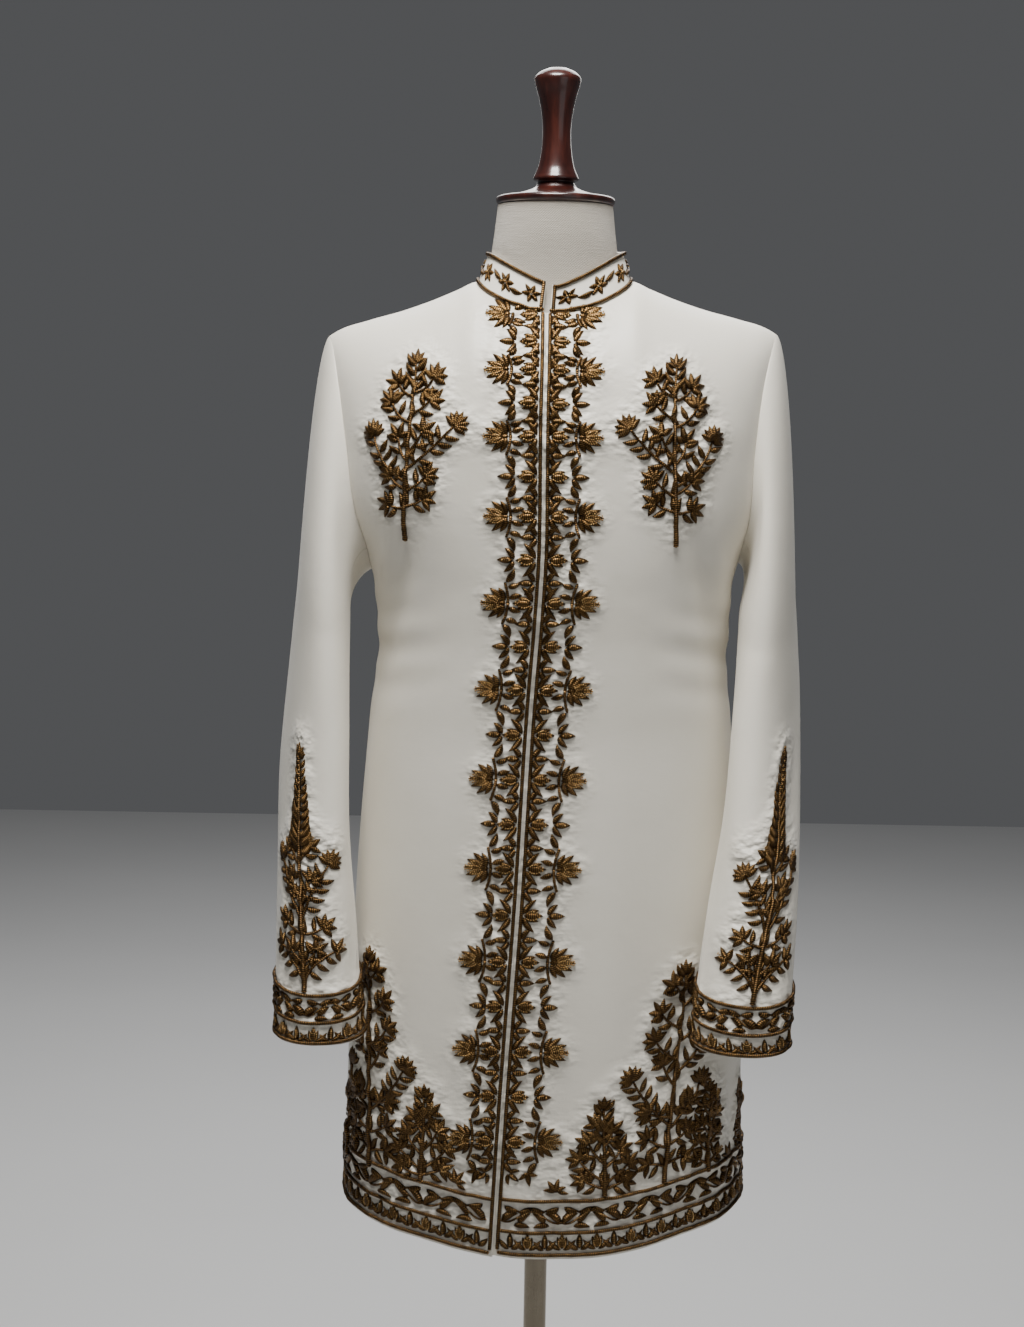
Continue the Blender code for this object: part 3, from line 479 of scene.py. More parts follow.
def form_reach(angle, z):
    """How far the dress form reaches from its axis, at an angle from the front and a height."""
    ray = np.linspace(0.0, 0.2, 401)
    face = -1 if cos(angle) >= 0 else 1
    x, y = ray * sin(angle), ray * abs(cos(angle))
    ease = np.interp(z, FORM_EASE_HEIGHTS, (FORM_EASE, FORM_SHOULDER_EASE)) + WALL
    half = float(smooth(SECTIONS, "half", z)) - ease
    if z >= FORM_WAIST:
        half = min(half, float(np.interp(z, *FORM_REACH)))
    share = np.clip(np.abs(x - float(smooth(SECTIONS, "centre", z))) / half, 0, 1)
    rounding = FRONT_ROUND if face < 0 else BACK_ROUND
    drop = np.clip((shoulder_line(x, -1) - ease - z) / rounding, 0, 1)
    limit = (float(smooth(SECTIONS, "front" if face < 0 else "back", z)) - ease) * depth(step_across(share))
    limit = limit * np.sqrt(1 - (1 - drop) ** 2)
    inside = np.nonzero((y <= limit) & (share < 1) & (drop > 0))[0]
    return ray[inside[-1]] if len(inside) else 0.0


def fine_folds(p):
    """Soft waves of the hanging cloth, by place: slow sines across and down, none near the neck and
    armholes."""
    x, y, z = p[..., 0], p[..., 1], p[..., 2]
    turn = np.arctan2(x, -y)
    low = np.clip((1.22 - z) / 0.5, 0, 1)
    waves = np.sin(9 * turn + 5 * z) * np.sin(2.3 * turn + 1.1) + 0.5 * np.sin(16 * turn - 7 * z + 1.0)
    waist = bump(z - 1.16, 0.05) * np.clip(
        (np.abs(x) - 0.09) / 0.05, 0, 1
    ) * np.sin(170 * z + 30 * np.abs(x))
    return 0.0011 * low * waves + 0.0008 * waist


def hem_height(t, side):
    """The hem curves up to the side seams, and the right front ends in a low corner."""
    corner = HEM_POINT * np.clip(1 - np.abs(t), 0, 1) ** 6 if side < 0 else 0
    return HEM_FRONT + HEM_RISE * np.sin(pi / 2 * t) ** 2 - corner


def lap(t, z):
    """The right front's rise over the left one: full at its edge, falling as a cubic within LAP_BLEND."""
    off = (front_edge_step(z) - t) * smooth(SECTIONS, "half", z) * QUARTER
    f = np.clip(1 - off / LAP_BLEND, 0, 1)
    return LAP_RISE * f * f * (3 - 2 * f) * np.interp(z, LAP_END, (1, 0))


def dress(t, q, face, side):
    """The coat's outer surface with all its folds, and its plain normals. side is -1 right front, 1
    left front, 0 back."""
    plain = trunk(t, q, face)
    normal = trunk_normal(t, q, face)
    rise = folds(plain) + fine_folds(plain)
    if side < 0:
        rise = rise + lap(t, plain[..., 2])
    field = PUCKERS["back" if face > 0 else "front"]
    rise = rise + field.rise(
        np.broadcast_to(t, rise.shape), plain[..., 2]
    ) * np.clip((1 - np.abs(t)) / 0.06, 0, 1)
    return plain + normal * rise[..., None], normal


class Puckers:
    """How the embroidery draws the cloth in: its coverage, blurred, sinks it, and ripples stand round it.

    The field is a raster over two panel coordinates. rise() reads it between its cells.
    """

    def __init__(self, low, high, cells, seed):
        """low and high are the ends of the two coordinates, and cells is the raster's size."""
        self.low, self.high = np.array(low), np.array(high)
        self.grid = np.zeros(cells)
        self.seed = seed

    def places(self, a, b):
        """Places in the raster, in cells, from the coordinates' shares of their range."""
        share = (np.stack([a, b], axis=-1) - self.low) / (self.high - self.low)
        return np.clip(share, 0, 1) * (np.array(self.grid.shape) - 1.001)

    def add(self, a, b, weight):
        """Puts each weight in its nearest cell."""
        i, j = np.rint(self.places(a, b)).astype(int).T
        np.add.at(self.grid, (i, j), weight)

    def blur(self, grid, spread):
        """A Gaussian blur through the Fourier transform, spread in cells."""
        fi, fj = (np.fft.fftfreq(n) for n in grid.shape)
        decay = np.exp(-2 * (pi * spread) ** 2 * (fi[:, None] ** 2 + fj[None, :] ** 2))
        return np.fft.ifft2(np.fft.fft2(grid) * decay).real

    def settle(self):
        """The field: blurred noise as ripples, within a wide blur of the coverage, less a sink in its
        tight blur."""
        tight = np.tanh(self.blur(self.grid, 1.8) * 1.6)
        wide = np.tanh(self.blur(self.grid, 4.5) * 6.0)
        self.near = wide
        noise = np.random.default_rng(self.seed).normal(size=self.grid.shape)
        ripple = self.blur(noise, 1.9)
        ripple = ripple / ripple.std()
        self.field = PUCKER_RIPPLE * ripple * wide * (1 - 0.45 * tight) - PUCKER_SINK * tight

    def rise(self, a, b):
        """How far the cloth stands out at a place."""
        return self.read(self.field, a, b)

    def drawn(self, a, b):
        """How near the embroidery a place is, from 0 to 1."""
        return self.read(self.near, a, b)

    def read(self, grid, a, b):
        """The grid's value between four cells: their mean, weighted both ways."""
        place = self.places(a, b)
        cell = np.floor(place).astype(int)
        (i, j), (u, v) = np.moveaxis(cell, -1, 0), np.moveaxis(place - cell, -1, 0)
        top = grid[i, j] * (1 - v) + grid[i, j + 1] * v
        low = grid[i + 1, j] * (1 - v) + grid[i + 1, j + 1] * v
        return top * (1 - u) + low * u


PUCKER_SINK = 0.0015
PUCKER_RIPPLE = 0.0015
PUCKERS = {
    "front": Puckers((-1.0, 0.57), (1.0, 1.50), (270, 465), 3),
    "back": Puckers((-1.0, 0.57), (1.0, 1.50), (270, 465), 4),
    -1: Puckers((0.0, 0.78), (1.0, 1.20), (160, 210), 5),
    1: Puckers((0.0, 0.78), (1.0, 1.20), (160, 210), 6),
}


def ring_points(side, heights, angles):
    """Points of the sleeve's oval rings. Angle 0 is the outer side and pi / 2 the front, and the ring
    leans down forward."""
    heights, angles = np.broadcast_arrays(np.asarray(heights, float), np.asarray(angles, float))
    rings = SLEEVES[side][::-1]
    outer = side * smooth(rings, "outer", heights)
    inner = side * smooth(rings, "inner", heights)
    middle = smooth(rings, "middle", heights)
    deep = smooth(rings, "deep", heights)
    turn = np.radians(smooth(rings, "turn", heights))
    half = np.abs(outer - inner) / 2
    wide = np.sqrt(half**2 - (deep * np.sin(turn)) ** 2) / np.cos(turn)
    o, f = sleeve_axes(turn, side)
    c = np.sign(np.cos(angles)) * np.abs(np.cos(angles)) ** (2 / RING_POWER)
    s = np.sign(np.sin(angles)) * np.abs(np.sin(angles)) ** (2 / RING_POWER)
    points = np.stack([(outer + inner) / 2, middle, heights], axis=-1)
    points = points + (wide * c)[..., None] * o + (deep * s)[..., None] * f
    slope = (smooth(rings, "middle", heights - 0.01) - smooth(rings, "middle", heights + 0.01)) / 0.02
    points[..., 2] -= slope * (points[..., 1] - middle)
    return points


def sleeve_rise(side, heights, angles):
    """The sleeve's soft folds: long waves down the arm, a bend behind the elbow, and the puckers of its
    embroidery."""
    fade = np.clip((1.16 - heights) / 0.08, 0, 1) * np.clip((heights - 0.80) / 0.06, 0.25, 1)
    waves = np.sin(3 * angles + 14 * heights * side) * np.sin(9 * heights + angles)
    elbow = bump(heights - 1.10 - 0.05 * np.cos(angles), 0.012) * np.clip(-np.sin(angles + 0.4), 0, 1)
    field = PUCKERS[side]
    seams = np.clip(np.abs(angles % (2 * pi) - radians(FRONT_SEAM)) / 0.15, 0, 1)
    seams = seams * np.clip(np.abs(angles % (2 * pi) - radians(BACK_SEAM)) / 0.15, 0, 1)
    drawn = field.rise((angles / (2 * pi)) % 1.0, heights) * seams
    return fade * (0.0012 * waves * seams - 0.0030 * elbow * seams) + drawn


def sleeve_cloth(side, heights, angles):
    """The sleeve's outer surface below its cap, and its normals: across the way round and the way down."""
    heights, angles = np.broadcast_arrays(np.asarray(heights, float), np.asarray(angles, float))
    points = ring_points(side, heights, angles)
    around = ring_points(side, heights, angles + 0.01) - ring_points(side, heights, angles - 0.01)
    down = ring_points(side, heights - 0.002, angles) - ring_points(side, heights + 0.002, angles)
    normal = unit(np.cross(around, down) * side)
    return points + normal * sleeve_rise(side, heights, angles)[..., None], normal


def edge_lines(side):
    """The front's cord line and free edge, as functions from a height to t."""

    def cord_line(z):
        """t of the cord's line, its inset away from the front edge."""
        return front_edge_step(z) + side * cloth_step(CORD_INSET[side], z)

    def edge_line(z):
        """t of the cloth's edge. The left front passes under the right one by UNDERLAP, which turns
        into a gap between the two heights of UNDERLAP_END."""
        if side < 0:
            return front_edge_step(z)
        under = np.interp(z, UNDERLAP_END, (UNDERLAP, -BUTT_GAP))
        return front_edge_step(z) - cloth_step(under, z)

    return cord_line, edge_line


def shoulder_steps(side, count):
    """Even steps of t along the shoulder seam, from the neckline's end to the armhole's tip."""
    neck_end, _ = neckline(side * pi / 2, -1)
    tip, _ = armhole(side, [0.0], -1)
    return np.linspace(neck_end, tip[0], count + 1)


def front_grid(side):
    """(t, q) over one front: the edge strip, then rows from the hem to the armpit and a blended patch
    up to the yoke."""
    cord_line, edge_line = edge_lines(side)
    u = np.linspace(0, 1, HALF_STEPS + 1)[None]
    v = np.linspace(0, 1, SKIRT_ROWS)[:, None]
    z = HEM_FRONT + v * (ARMPIT[side] - HEM_FRONT) + 0 * u
    for _ in range(4):
        t = (1 - u) * cord_line(z) + u * side
        z = (1 - v) * hem_height(t, side) + v * ARMPIT[side]
    lower = np.stack([t, fall(t, z, -1)], axis=-1)
    neck_t, neck_q = neckline(side * np.linspace(neckline_start(side), pi / 2, NECK_STEPS + 1), -1)
    shoulder_t = shoulder_steps(side, SHOULDER_STEPS)[1:]
    top = np.stack(
        [np.concatenate([neck_t, shoulder_t]), np.concatenate([neck_q, 0 * shoulder_t])], axis=-1
    )
    scye = np.stack(armhole(side, np.linspace(pi, 0, YOKE_ROWS + 1), -1), axis=-1)
    rise = np.linspace(lower[-1, 0, 1], neck_q[0], YOKE_ROWS + 1)
    cord_column = np.stack([line_steps(cord_line, rise), rise], axis=-1)
    grid = np.concatenate([lower, blend_patch(lower[-1], top, cord_column, scye)[1:]])
    edge = line_steps(edge_line, grid[:, 0, 1])
    strip = [
        np.stack(
            [edge + (grid[:, 0, 0] - edge) * share, grid[:, 0, 1]], axis=-1
        ) for share in (0.0, 0.35, 0.7)
    ]
    return np.concatenate([np.stack(strip, axis=1), grid], axis=1)


def back_grid():
    """(t, q) over the whole back, from the right side seam to the left one."""
    u = np.linspace(-1, 1, 2 * (BACK_NECK_STEPS + BACK_SHOULDER_STEPS) + 1)[None]
    v = np.linspace(0, 1, SKIRT_ROWS)[:, None]
    pit = np.interp(u, (-1, 1), (ARMPIT[-1], ARMPIT[1]))
    z = (1 - v) * hem_height(u, 1) + v * pit
    lower = np.stack([u + 0 * v, fall(u + 0 * v, z, 1)], axis=-1)
    neck_t, neck_q = neckline(np.linspace(-pi / 2, pi / 2, 2 * BACK_NECK_STEPS + 1), 1)
    right, left = shoulder_steps(-1, BACK_SHOULDER_STEPS)[:0:-1], shoulder_steps(1, BACK_SHOULDER_STEPS)[1:]
    top_t = np.concatenate([right, neck_t, left])
    top_q = np.concatenate([0 * right, neck_q, 0 * left])
    angles = np.linspace(pi, 0, YOKE_ROWS + 1)
    sides = [np.stack(armhole(side, angles, 1), axis=-1) for side in (-1, 1)]
    upper = blend_patch(lower[-1], np.stack([top_t, top_q], axis=-1), sides[0], sides[1])
    return np.concatenate([lower, upper[1:]])


SLEEVE_ANGLES = np.linspace(0, 2 * pi, SLEEVE_COLUMNS + 1)[:-1]


def armhole_loop(side):
    """Outer points and trunk normals round the armhole, one for each of the sleeve's columns."""
    ahead = SLEEVE_ANGLES <= pi + 1e-9
    front = dress(*armhole(side, SLEEVE_ANGLES[ahead], -1), -1, side)
    behind = dress(*armhole(side, 2 * pi - SLEEVE_ANGLES[~ahead], 1), 1, 0)
    return np.concatenate([front[0], behind[0]]), np.concatenate([front[1], behind[1]])


def armhole_edge(side):
    """Round the armhole: the way to the shared inner edge, and the way from the trunk's cloth to the
    sleeve's."""
    points, normals = armhole_loop(side)
    tangent = unit(np.roll(points, -1, axis=0) - np.roll(points, 1, axis=0))
    leave = cap_directions(side, SLEEVE_ANGLES)
    cap = unit(np.cross(leave, tangent) * side)
    cap *= np.sign((cap * normals).sum(-1).mean())
    return shared_edge(normals, cap, leave, tangent)


def neck_edge(turn):
    """Round the neckline, by the turn from the front: points, way to the shared inner edge, and the way
    up to the collar."""
    front = np.abs(turn) <= pi / 2 + 1e-9
    folded = np.where(front, turn, np.sign(turn) * (pi - np.abs(turn)))
    ahead = dress(*neckline(folded, -1), -1, 1)
    behind = dress(*neckline(folded, 1), 1, 0)
    points, normals = (np.where(front[:, None], a, b) for a, b in zip(ahead, behind))
    out = np.stack([np.sin(turn), -np.cos(turn), 0 * turn], axis=-1)
    leave = unit(np.array([0, 0, 1.0]) - COLLAR_LEAN * out)
    tangent = unit(np.gradient(points, axis=0))
    inward, aside = shared_edge(normals, unit(out + [0, 0, COLLAR_LEAN]), leave, tangent)
    return points, inward, aside


def sleeve_grid(side):
    """The whole sleeve's outer points: a cubic cap from the armhole to the first ring, then the rings
    to the cuff."""
    loop, _ = armhole_loop(side)
    first, end = SLEEVES[side][0].height, SLEEVES[side][-1].height
    ring, below = (ring_points(side, height, SLEEVE_ANGLES) for height in (first, first - 0.01))
    reach = np.linalg.norm(ring - loop, axis=-1, keepdims=True)
    leave = cap_directions(side, SLEEVE_ANGLES) * np.minimum(0.9 * reach, CAP_LEAVE)
    arrive = unit(below - ring) * reach
    s = np.linspace(0, 1, CAP_ROWS)[:, None, None] ** 1.25
    cap = (1 + 2 * s) * (1 - s) ** 2 * loop + s * (1 - s) ** 2 * leave
    cap = cap + s * s * (3 - 2 * s) * ring - s * s * (1 - s) * arrive
    heights = np.linspace(first, end, ARM_ROWS + 1)[1:, None]
    arm, _ = sleeve_cloth(side, heights, SLEEVE_ANGLES[None])
    return np.concatenate([cap, arm])


def tube_normals(grid, side):
    """Normals of a grid that is closed round: the cross product of the ways round and down."""
    around = np.roll(grid, -1, axis=1) - np.roll(grid, 1, axis=1)
    return unit(np.cross(around, np.gradient(grid, axis=0)) * side)


def collar_grid(rows):
    """The collar's outer points, from its foot on the neckline straight up to its top edge, and the
    mitred way inward."""
    right = np.linspace(neckline_start(-1), pi / 2, NECK_STEPS + 1)
    left = np.linspace(neckline_start(1), pi / 2, NECK_STEPS + 1)
    behind = np.linspace(pi / 2, pi, NECK_STEPS + 1)
    turns = np.concatenate([-right, -behind[1:], behind[-2:0:-1], left[::-1]])
    foot, mitre, up = neck_edge(turns)
    foot = foot + up * SEAM
    share = np.linspace(0, 1, rows)[:, None, None]
    outer = foot + share * (collar_top(turns, foot) - foot)
    normal = unit(np.cross(np.gradient(outer, axis=1), np.gradient(outer, axis=0)))
    normal *= np.sign((normal * outer * [1, 1, 0]).sum())
    return outer, normal, mitre


def link(obj, look):
    """Puts a finished object in the scene, riding on the one body."""
    obj.data.materials.append(look)
    bpy.context.scene.collection.objects.link(obj)
    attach(obj, "root")
    return obj


def mesh_piece(name, points, quads, triangles, uv, look, sharp=None):
    """A mesh from whole arrays: its points, its faces of four and three corners, and one UV pair for
    each point."""
    data = bpy.data.meshes.new(name)
    quads, triangles = np.asarray(quads, int).reshape(-1, 4), np.asarray(triangles, int).reshape(-1, 3)
    corners = np.concatenate([quads.ravel(), triangles.ravel()])
    sizes = np.concatenate([np.full(len(quads), 4), np.full(len(triangles), 3)])
    data.vertices.add(len(points))
    data.vertices.foreach_set("co", np.asarray(points, np.float32).ravel())
    data.loops.add(len(corners))
    data.loops.foreach_set("vertex_index", corners.astype(np.int32))
    data.polygons.add(len(sizes))
    data.polygons.foreach_set("loop_start", np.concatenate([[0], np.cumsum(sizes)[:-1]]).astype(np.int32))
    data.update(calc_edges=True)
    layer = data.uv_layers.new(name="cloth")
    layer.uv.foreach_set("vector", np.asarray(uv, np.float32)[corners].ravel())
    data.validate()
    data.shade_smooth()
    if sharp:
        data.set_sharp_from_angle(angle=sharp)
    return link(bpy.data.objects.new(name, data), look)


def grid_quads(rows, columns, closed=False):
    """Faces between the rows of a grid of points, round to the first column again if it is closed."""
    index = np.arange(rows * columns).reshape(rows, columns)
    if closed:
        index = np.concatenate([index, index[:, :1]], axis=1)
    return np.stack([index[:-1, :-1], index[:-1, 1:], index[1:, 1:], index[1:, :-1]], -1).reshape(-1, 4)


def cloth_piece(name, outer, inner, uv, look, drawn=None):
    """A wall between an outer and an inner grid of points, closed round the rim. drawn marks the cloth
    near embroidery."""
    rows, columns = outer.shape[:2]
    index = np.arange(rows * columns).reshape(rows, columns)
    quads = grid_quads(rows, columns)
    rim = np.concatenate([index[0], index[1:, -1], index[-1, -2::-1], index[-2:0:-1, 0]])
    after = np.roll(rim, -1)
    far = rows * columns
    faces = np.concatenate(
        [quads, quads[:, ::-1] + far, np.stack([after, rim, rim + far, after + far], -1)]
    )
    a, b, c = (outer.reshape(-1, 3)[quads[:, i]] for i in (0, 1, 2))
    if (np.cross(b - a, c - a) * (outer - inner).reshape(-1, 3)[quads[:, 0]]).sum() < 0:
        faces = faces[:, ::-1]
    points = np.concatenate([outer.reshape(-1, 3), inner.reshape(-1, 3)])
    flat = uv.reshape(-1, 2)
    piece = mesh_piece(name, points, faces, [], np.concatenate([flat, flat]), look, sharp=0.8)
    if drawn is not None:
        layer = piece.data.attributes.new("drawn", "FLOAT", "POINT")
        layer.data.foreach_set("value", np.tile(np.asarray(drawn, np.float32).ravel(), 2))
    return piece


def tube(path, normals, radius, around=6, closed=False, twist=0.0):
    """A tube along a path, laid out on the path's normals. twist is the length of one turn of a two-ply
    cord.

    Its points are path + radius (cos a side + sin a normal), with a two-lobed radius that turns as it
    goes.
    """
    length = np.concatenate([[0], np.cumsum(np.linalg.norm(np.diff(path, axis=0), axis=1))])
    if closed:
        tangent = unit(np.roll(path, -1, axis=0) - np.roll(path, 1, axis=0))
    else:
        tangent = unit(np.gradient(path, axis=0))
    side = unit(np.cross(tangent, normals))
    up = np.cross(side, tangent)
    a = np.linspace(0, 2 * pi, around + 1)[:-1]
    lobes = 1 + 0.16 * np.cos(
        2 * (a[None] - 2 * pi * length[:, None] / twist)
    ) if twist else np.ones((len(path), around))
    radius = np.broadcast_to(radius, (len(path), 1))
    reach = radius * lobes
    points = path[:, None] + reach[..., None] * (
        np.cos(a)[:, None] * side[:, None] + np.sin(a)[:, None] * up[:, None]
    )
    rows = len(path)
    quads = grid_quads(rows, around, closed=True)
    points = points.reshape(-1, 3)
    uv = np.stack(np.broadcast_arrays(length[:, None], np.cos(a)[None]), axis=-1).reshape(-1, 2)
    triangles = []
    if closed:
        last = np.arange(around) + (rows - 1) * around
        first = np.arange(around)
        quads = np.concatenate([quads, np.stack([last, np.roll(last, -1), np.roll(first, -1), first], -1)])
    else:
        ends = np.stack([path[0] - tangent[0] * radius[0] * 0.6, path[-1] + tangent[-1] * radius[-1] * 0.6])
        points = np.concatenate([points, ends])
        uv = np.concatenate([uv, [[0, 0], [length[-1], 0]]])
        k = np.arange(around)
        after, top = (k + 1) % around, (rows - 1) * around
        first = np.stack([after, k, np.full(around, rows * around)], -1)
        last = np.stack([top + k, top + after, np.full(around, rows * around + 1)], -1)
        triangles = np.concatenate([first, last])
    return points, quads, triangles, uv


def resample(points, step):
    """The same path with points evenly spaced along it. Columns past the third, such as normals, follow
    it."""
    length = np.concatenate([[0], np.cumsum(np.linalg.norm(np.diff(points[:, :3], axis=0), axis=1))])
    count = max(int(length[-1] / step), 4)
    at = np.linspace(0, length[-1], count + 1)
    return np.stack([np.interp(at, length, points[:, i]) for i in range(points.shape[1])], axis=-1)


def join(parts):
    """Several meshes as one: points, quads, triangles and UVs run on, with their indices moved up."""
    points, quads, triangles, uv, start = [], [], [], [], 0
    for p, q, t, w in parts:
        points.append(p)
        quads.append(np.asarray(q, int).reshape(-1, 4) + start)
        triangles.append(np.asarray(t, int).reshape(-1, 3) + start)
        uv.append(w)
        start += len(p)
    return np.concatenate(points), np.concatenate(quads), np.concatenate(triangles), np.concatenate(uv)


class Pattern:
    """Flat embroidery, in metres: leaves from base to tip with a width and a bow, beads with a radius,
    and stems.

    A stem is a path with its radius at the start and at the end.
    """

    def __init__(self, leaves=(), beads=(), stems=()):
        """Leaves are rows of six numbers, beads rows of three, and stems pairs of points and radii."""
        self.leaves = np.array(leaves, float).reshape(-1, 6)
        self.beads = np.array(beads, float).reshape(-1, 3)
        self.stems = [(np.array(points, float), np.array(radii, float)) for points, radii in stems]

    def __add__(self, other):
        """Both patterns in one."""
        both = Pattern(
            np.concatenate([self.leaves, other.leaves]), np.concatenate([self.beads, other.beads])
        )
        both.stems = self.stems + other.stems
        return both

    def moved(self, x=0.0, y=0.0, angle=0.0, size=1.0, flip=1):
        """Flipped in x, scaled, turned by an angle in degrees, then shifted."""
        a = radians(angle)
        turn = size * np.array([[flip * cos(a), -sin(a)], [flip * sin(a), cos(a)]])
        shift = np.array([x, y])

        def place(points):
            """Turns the points and shifts them."""
            return points @ turn.T + shift

        leaves = np.concatenate(
            [
                place(self.leaves[:, :2]), place(self.leaves[:, 2:4]), self.leaves[:, 4:] * [size, flip]
            ], axis=1
        )
        beads = np.concatenate([place(self.beads[:, :2]), self.beads[:, 2:] * size], axis=1)
        return Pattern(leaves, beads, [(place(points), radii * size) for points, radii in self.stems])


def total(patterns):
    """All the patterns in one."""
    result = Pattern()
    for pattern in patterns:
        result = result + pattern
    return result


def leaf(x, y, angle, length, width=None, bow=0.0):
    """One leaf from (x, y), pointing at an angle in degrees."""
    a = radians(angle)
    return Pattern([(x, y, x + length * cos(a), y + length * sin(a), width or 0.40 * length, bow)])


def pair(x, y, angle, length, width=None, bow=0.0):
    """Two leaves, mirrored across the x axis."""
    return leaf(x, y, angle, length, width, bow) + leaf(x, -y, -angle, length, width, -bow)


def fan(count, spread, length, base=0.0, width=None, taper=0.22, bow=0.08):
    """Leaves spreading from one point about +x: the outer ones are shorter and curl back."""
    parts = []
    for share in np.linspace(-1, 1, count):
        size = length * (1 - taper * abs(share))
        a = radians(spread * share)
        parts.append(leaf(base * cos(a), base * sin(a), spread * share, size, width, -bow * share))
    return total(parts)


def seed_rows(start, end, half, count, radius):
    """Seed beads in rows across +x, from start to end, filling a pointed shape of this half-width."""
    beads = []
    for i, x in enumerate(np.linspace(start, end, count)):
        reach = half * sin(pi * (0.22 + 0.68 * i / max(count - 1, 1)))
        across = max(int(round(reach / (1.15 * radius))), 0)
        for y in np.linspace(-reach, reach, 2 * across // 2 + 1):
            beads.append((x - 0.45 * abs(y), y, radius))
    return Pattern(beads=beads)


def tulip(size):
    """Two long bowed leaves cup a heart of three petals that seed beads fill. It opens along +x, as
    long as size."""
    cup = pair(0, 0.06 * size, 51, 1.02 * size, 0.33 * size, 0.09)
    heart = pair(
        0.10 * size, 0.04 * size, 19, 0.76 * size, 0.30 * size, 0.05
    ) + leaf(0.04 * size, 0, 0, size, 0.44 * size)
    return cup + heart + seed_rows(0.26 * size, 0.88 * size, 0.22 * size, 6, 0.056 * size)


def three_leaves(size):
    """A small three-leaved flower with a row of beads, along +x."""
    beads = Pattern(beads=[(s * size, 0, 0.07 * size) for s in (0.28, 0.42, 0.56, 0.70)])
    return pair(
        0, 0.05 * size, 48, 0.88 * size, 0.38 * size, 0.10
    ) + leaf(0.04 * size, 0, 0, size, 0.44 * size) + beads


def cone_flower(size):
    """The large flower: leaves nested like an artichoke's, the outer ones hugging the stem, and rows of
    seed beads."""
    outer = pair(0.02 * size, 0.02 * size, 68, 0.66 * size, 0.28 * size, 0.10)
    inner = pair(
        0.06 * size, 0.04 * size, 45, 0.80 * size, 0.28 * size, 0.06
    ) + pair(0.10 * size, 0.02 * size, 21, 0.84 * size, 0.27 * size, 0.03)
    return outer + inner + leaf(0.08 * size, 0, 0, 0.92 * size, 0.28 * size) + seed_rows(
        0.30 * size, 0.94 * size, 0.27 * size, 8, 0.041 * size
    )


def curve(*corners, count=14):
    """A smooth path through three or four control points: a Bezier curve."""
    corners = np.array(corners, float)
    s = np.linspace(0, 1, count)[:, None]
    while len(corners) > 1:
        corners = [a * (1 - s) + b * s for a, b in zip(corners[:-1], corners[1:])]
    return corners[0]


def vine_repeat(above, below, wide):
    """One repeat of the front's vine, from its middle flower up and down by half the gaps to the next
    ones.

    The stem stands this wide of the cord line. It bows in at the flower, and long leaves carry it to
    the half flowers. With no gap above, the vine ends in this flower, by the collar.
    """
    parts = [
        cone_flower(0.0228).moved(wide + 0.0034, 0) + leaf(wide + 0.0014, 0, 0, 0.0080, 0.0044),
        tulip(0.0180).moved(0.0058, 0),
        pair(0, 0.0040, 163, 0.0125, 0.0060, -0.06).moved(wide - 0.0012, 0),
    ]
    for way, gap in ((-1, below), (1, above)):
        if not gap:
            continue
        link, far = way * 0.235 * gap, way * 0.5 * gap
        bend = curve(
            (wide - 0.0004, 0), (wide - 0.0004, way * 0.12 * gap), (wide + 0.0036, way * 0.235 * gap)
        )
        parts += [
            three_leaves(0.0152).moved(0.0056, link),
            leaf(wide + 0.0008, link - way * 0.0035, 180 - way * 16, 0.0122, 0.0058, way * 0.08),
            Pattern(stems=[(bend, (0.0015, 0.0013))]),
            Pattern(
                leaves=[
                    (wide + 0.0030, way * 0.245 * gap, wide - 0.0042, way * 0.405 * gap, 0.0070, way * 0.12)
                ]
            ),
        ]
        if way > 0:
            half = three_leaves(0.0156).moved(wide - 0.0036, 0) + tulip(0.0180).moved(0.0058, 0)
            parts.append(half.moved(0, far))
    return total(parts)


# Tree branches: the place on the trunk, the end across and up, the bow, and the leaves at the end
Branch = namedtuple("Branch", "start across up bow leaves")
CHEST_TREE = (
    Branch(0.17, -0.090, 0.185, 0.10, 5),
    Branch(0.18, 0.100, 0.215, 0.10, 5),
    Branch(0.27, -0.090, 0.330, 0.12, 5),
    Branch(0.26, 0.110, 0.335, 0.12, 6),
    Branch(0.31, -0.215, 0.545, 0.20, 8),
    Branch(0.38, 0.250, 0.600, 0.06, 8),
    Branch(0.42, -0.060, 0.540, 0.16, 4),
    Branch(0.46, 0.080, 0.570, 0.10, 4),
    Branch(0.62, -0.120, 0.720, 0.20, 6),
    Branch(0.66, 0.100, 0.730, 0.10, 5),
    Branch(0.76, -0.090, 0.820, 0.20, 5),
    Branch(0.78, 0.105, 0.850, 0.24, 6),
)
TALL_TREE = (
    Branch(0.07, -0.085, 0.090, -0.10, 4),
    Branch(0.08, 0.090, 0.100, -0.10, 4),
    Branch(0.16, -0.095, 0.200, 0.10, 5),
    Branch(0.17, 0.090, 0.215, 0.10, 6),
    Branch(0.24, 0.150, 0.430, 0.10, 8),
    Branch(0.26, -0.200, 0.470, 0.10, 8),
    Branch(0.30, -0.110, 0.320, 0.12, 6),
    Branch(0.33, 0.080, 0.350, 0.12, 5),
    Branch(0.44, -0.060, 0.530, 0.10, 5),
    Branch(0.50, 0.110, 0.590, 0.14, 6),
    Branch(0.56, -0.110, 0.640, 0.16, 6),
    Branch(0.64, 0.095, 0.710, 0.12, 5),
    Branch(0.70, -0.095, 0.765, 0.14, 5),
    Branch(0.80, 0.060, 0.850, 0.12, 5),
    Branch(0.85, -0.050, 0.890, 0.12, 4),
)
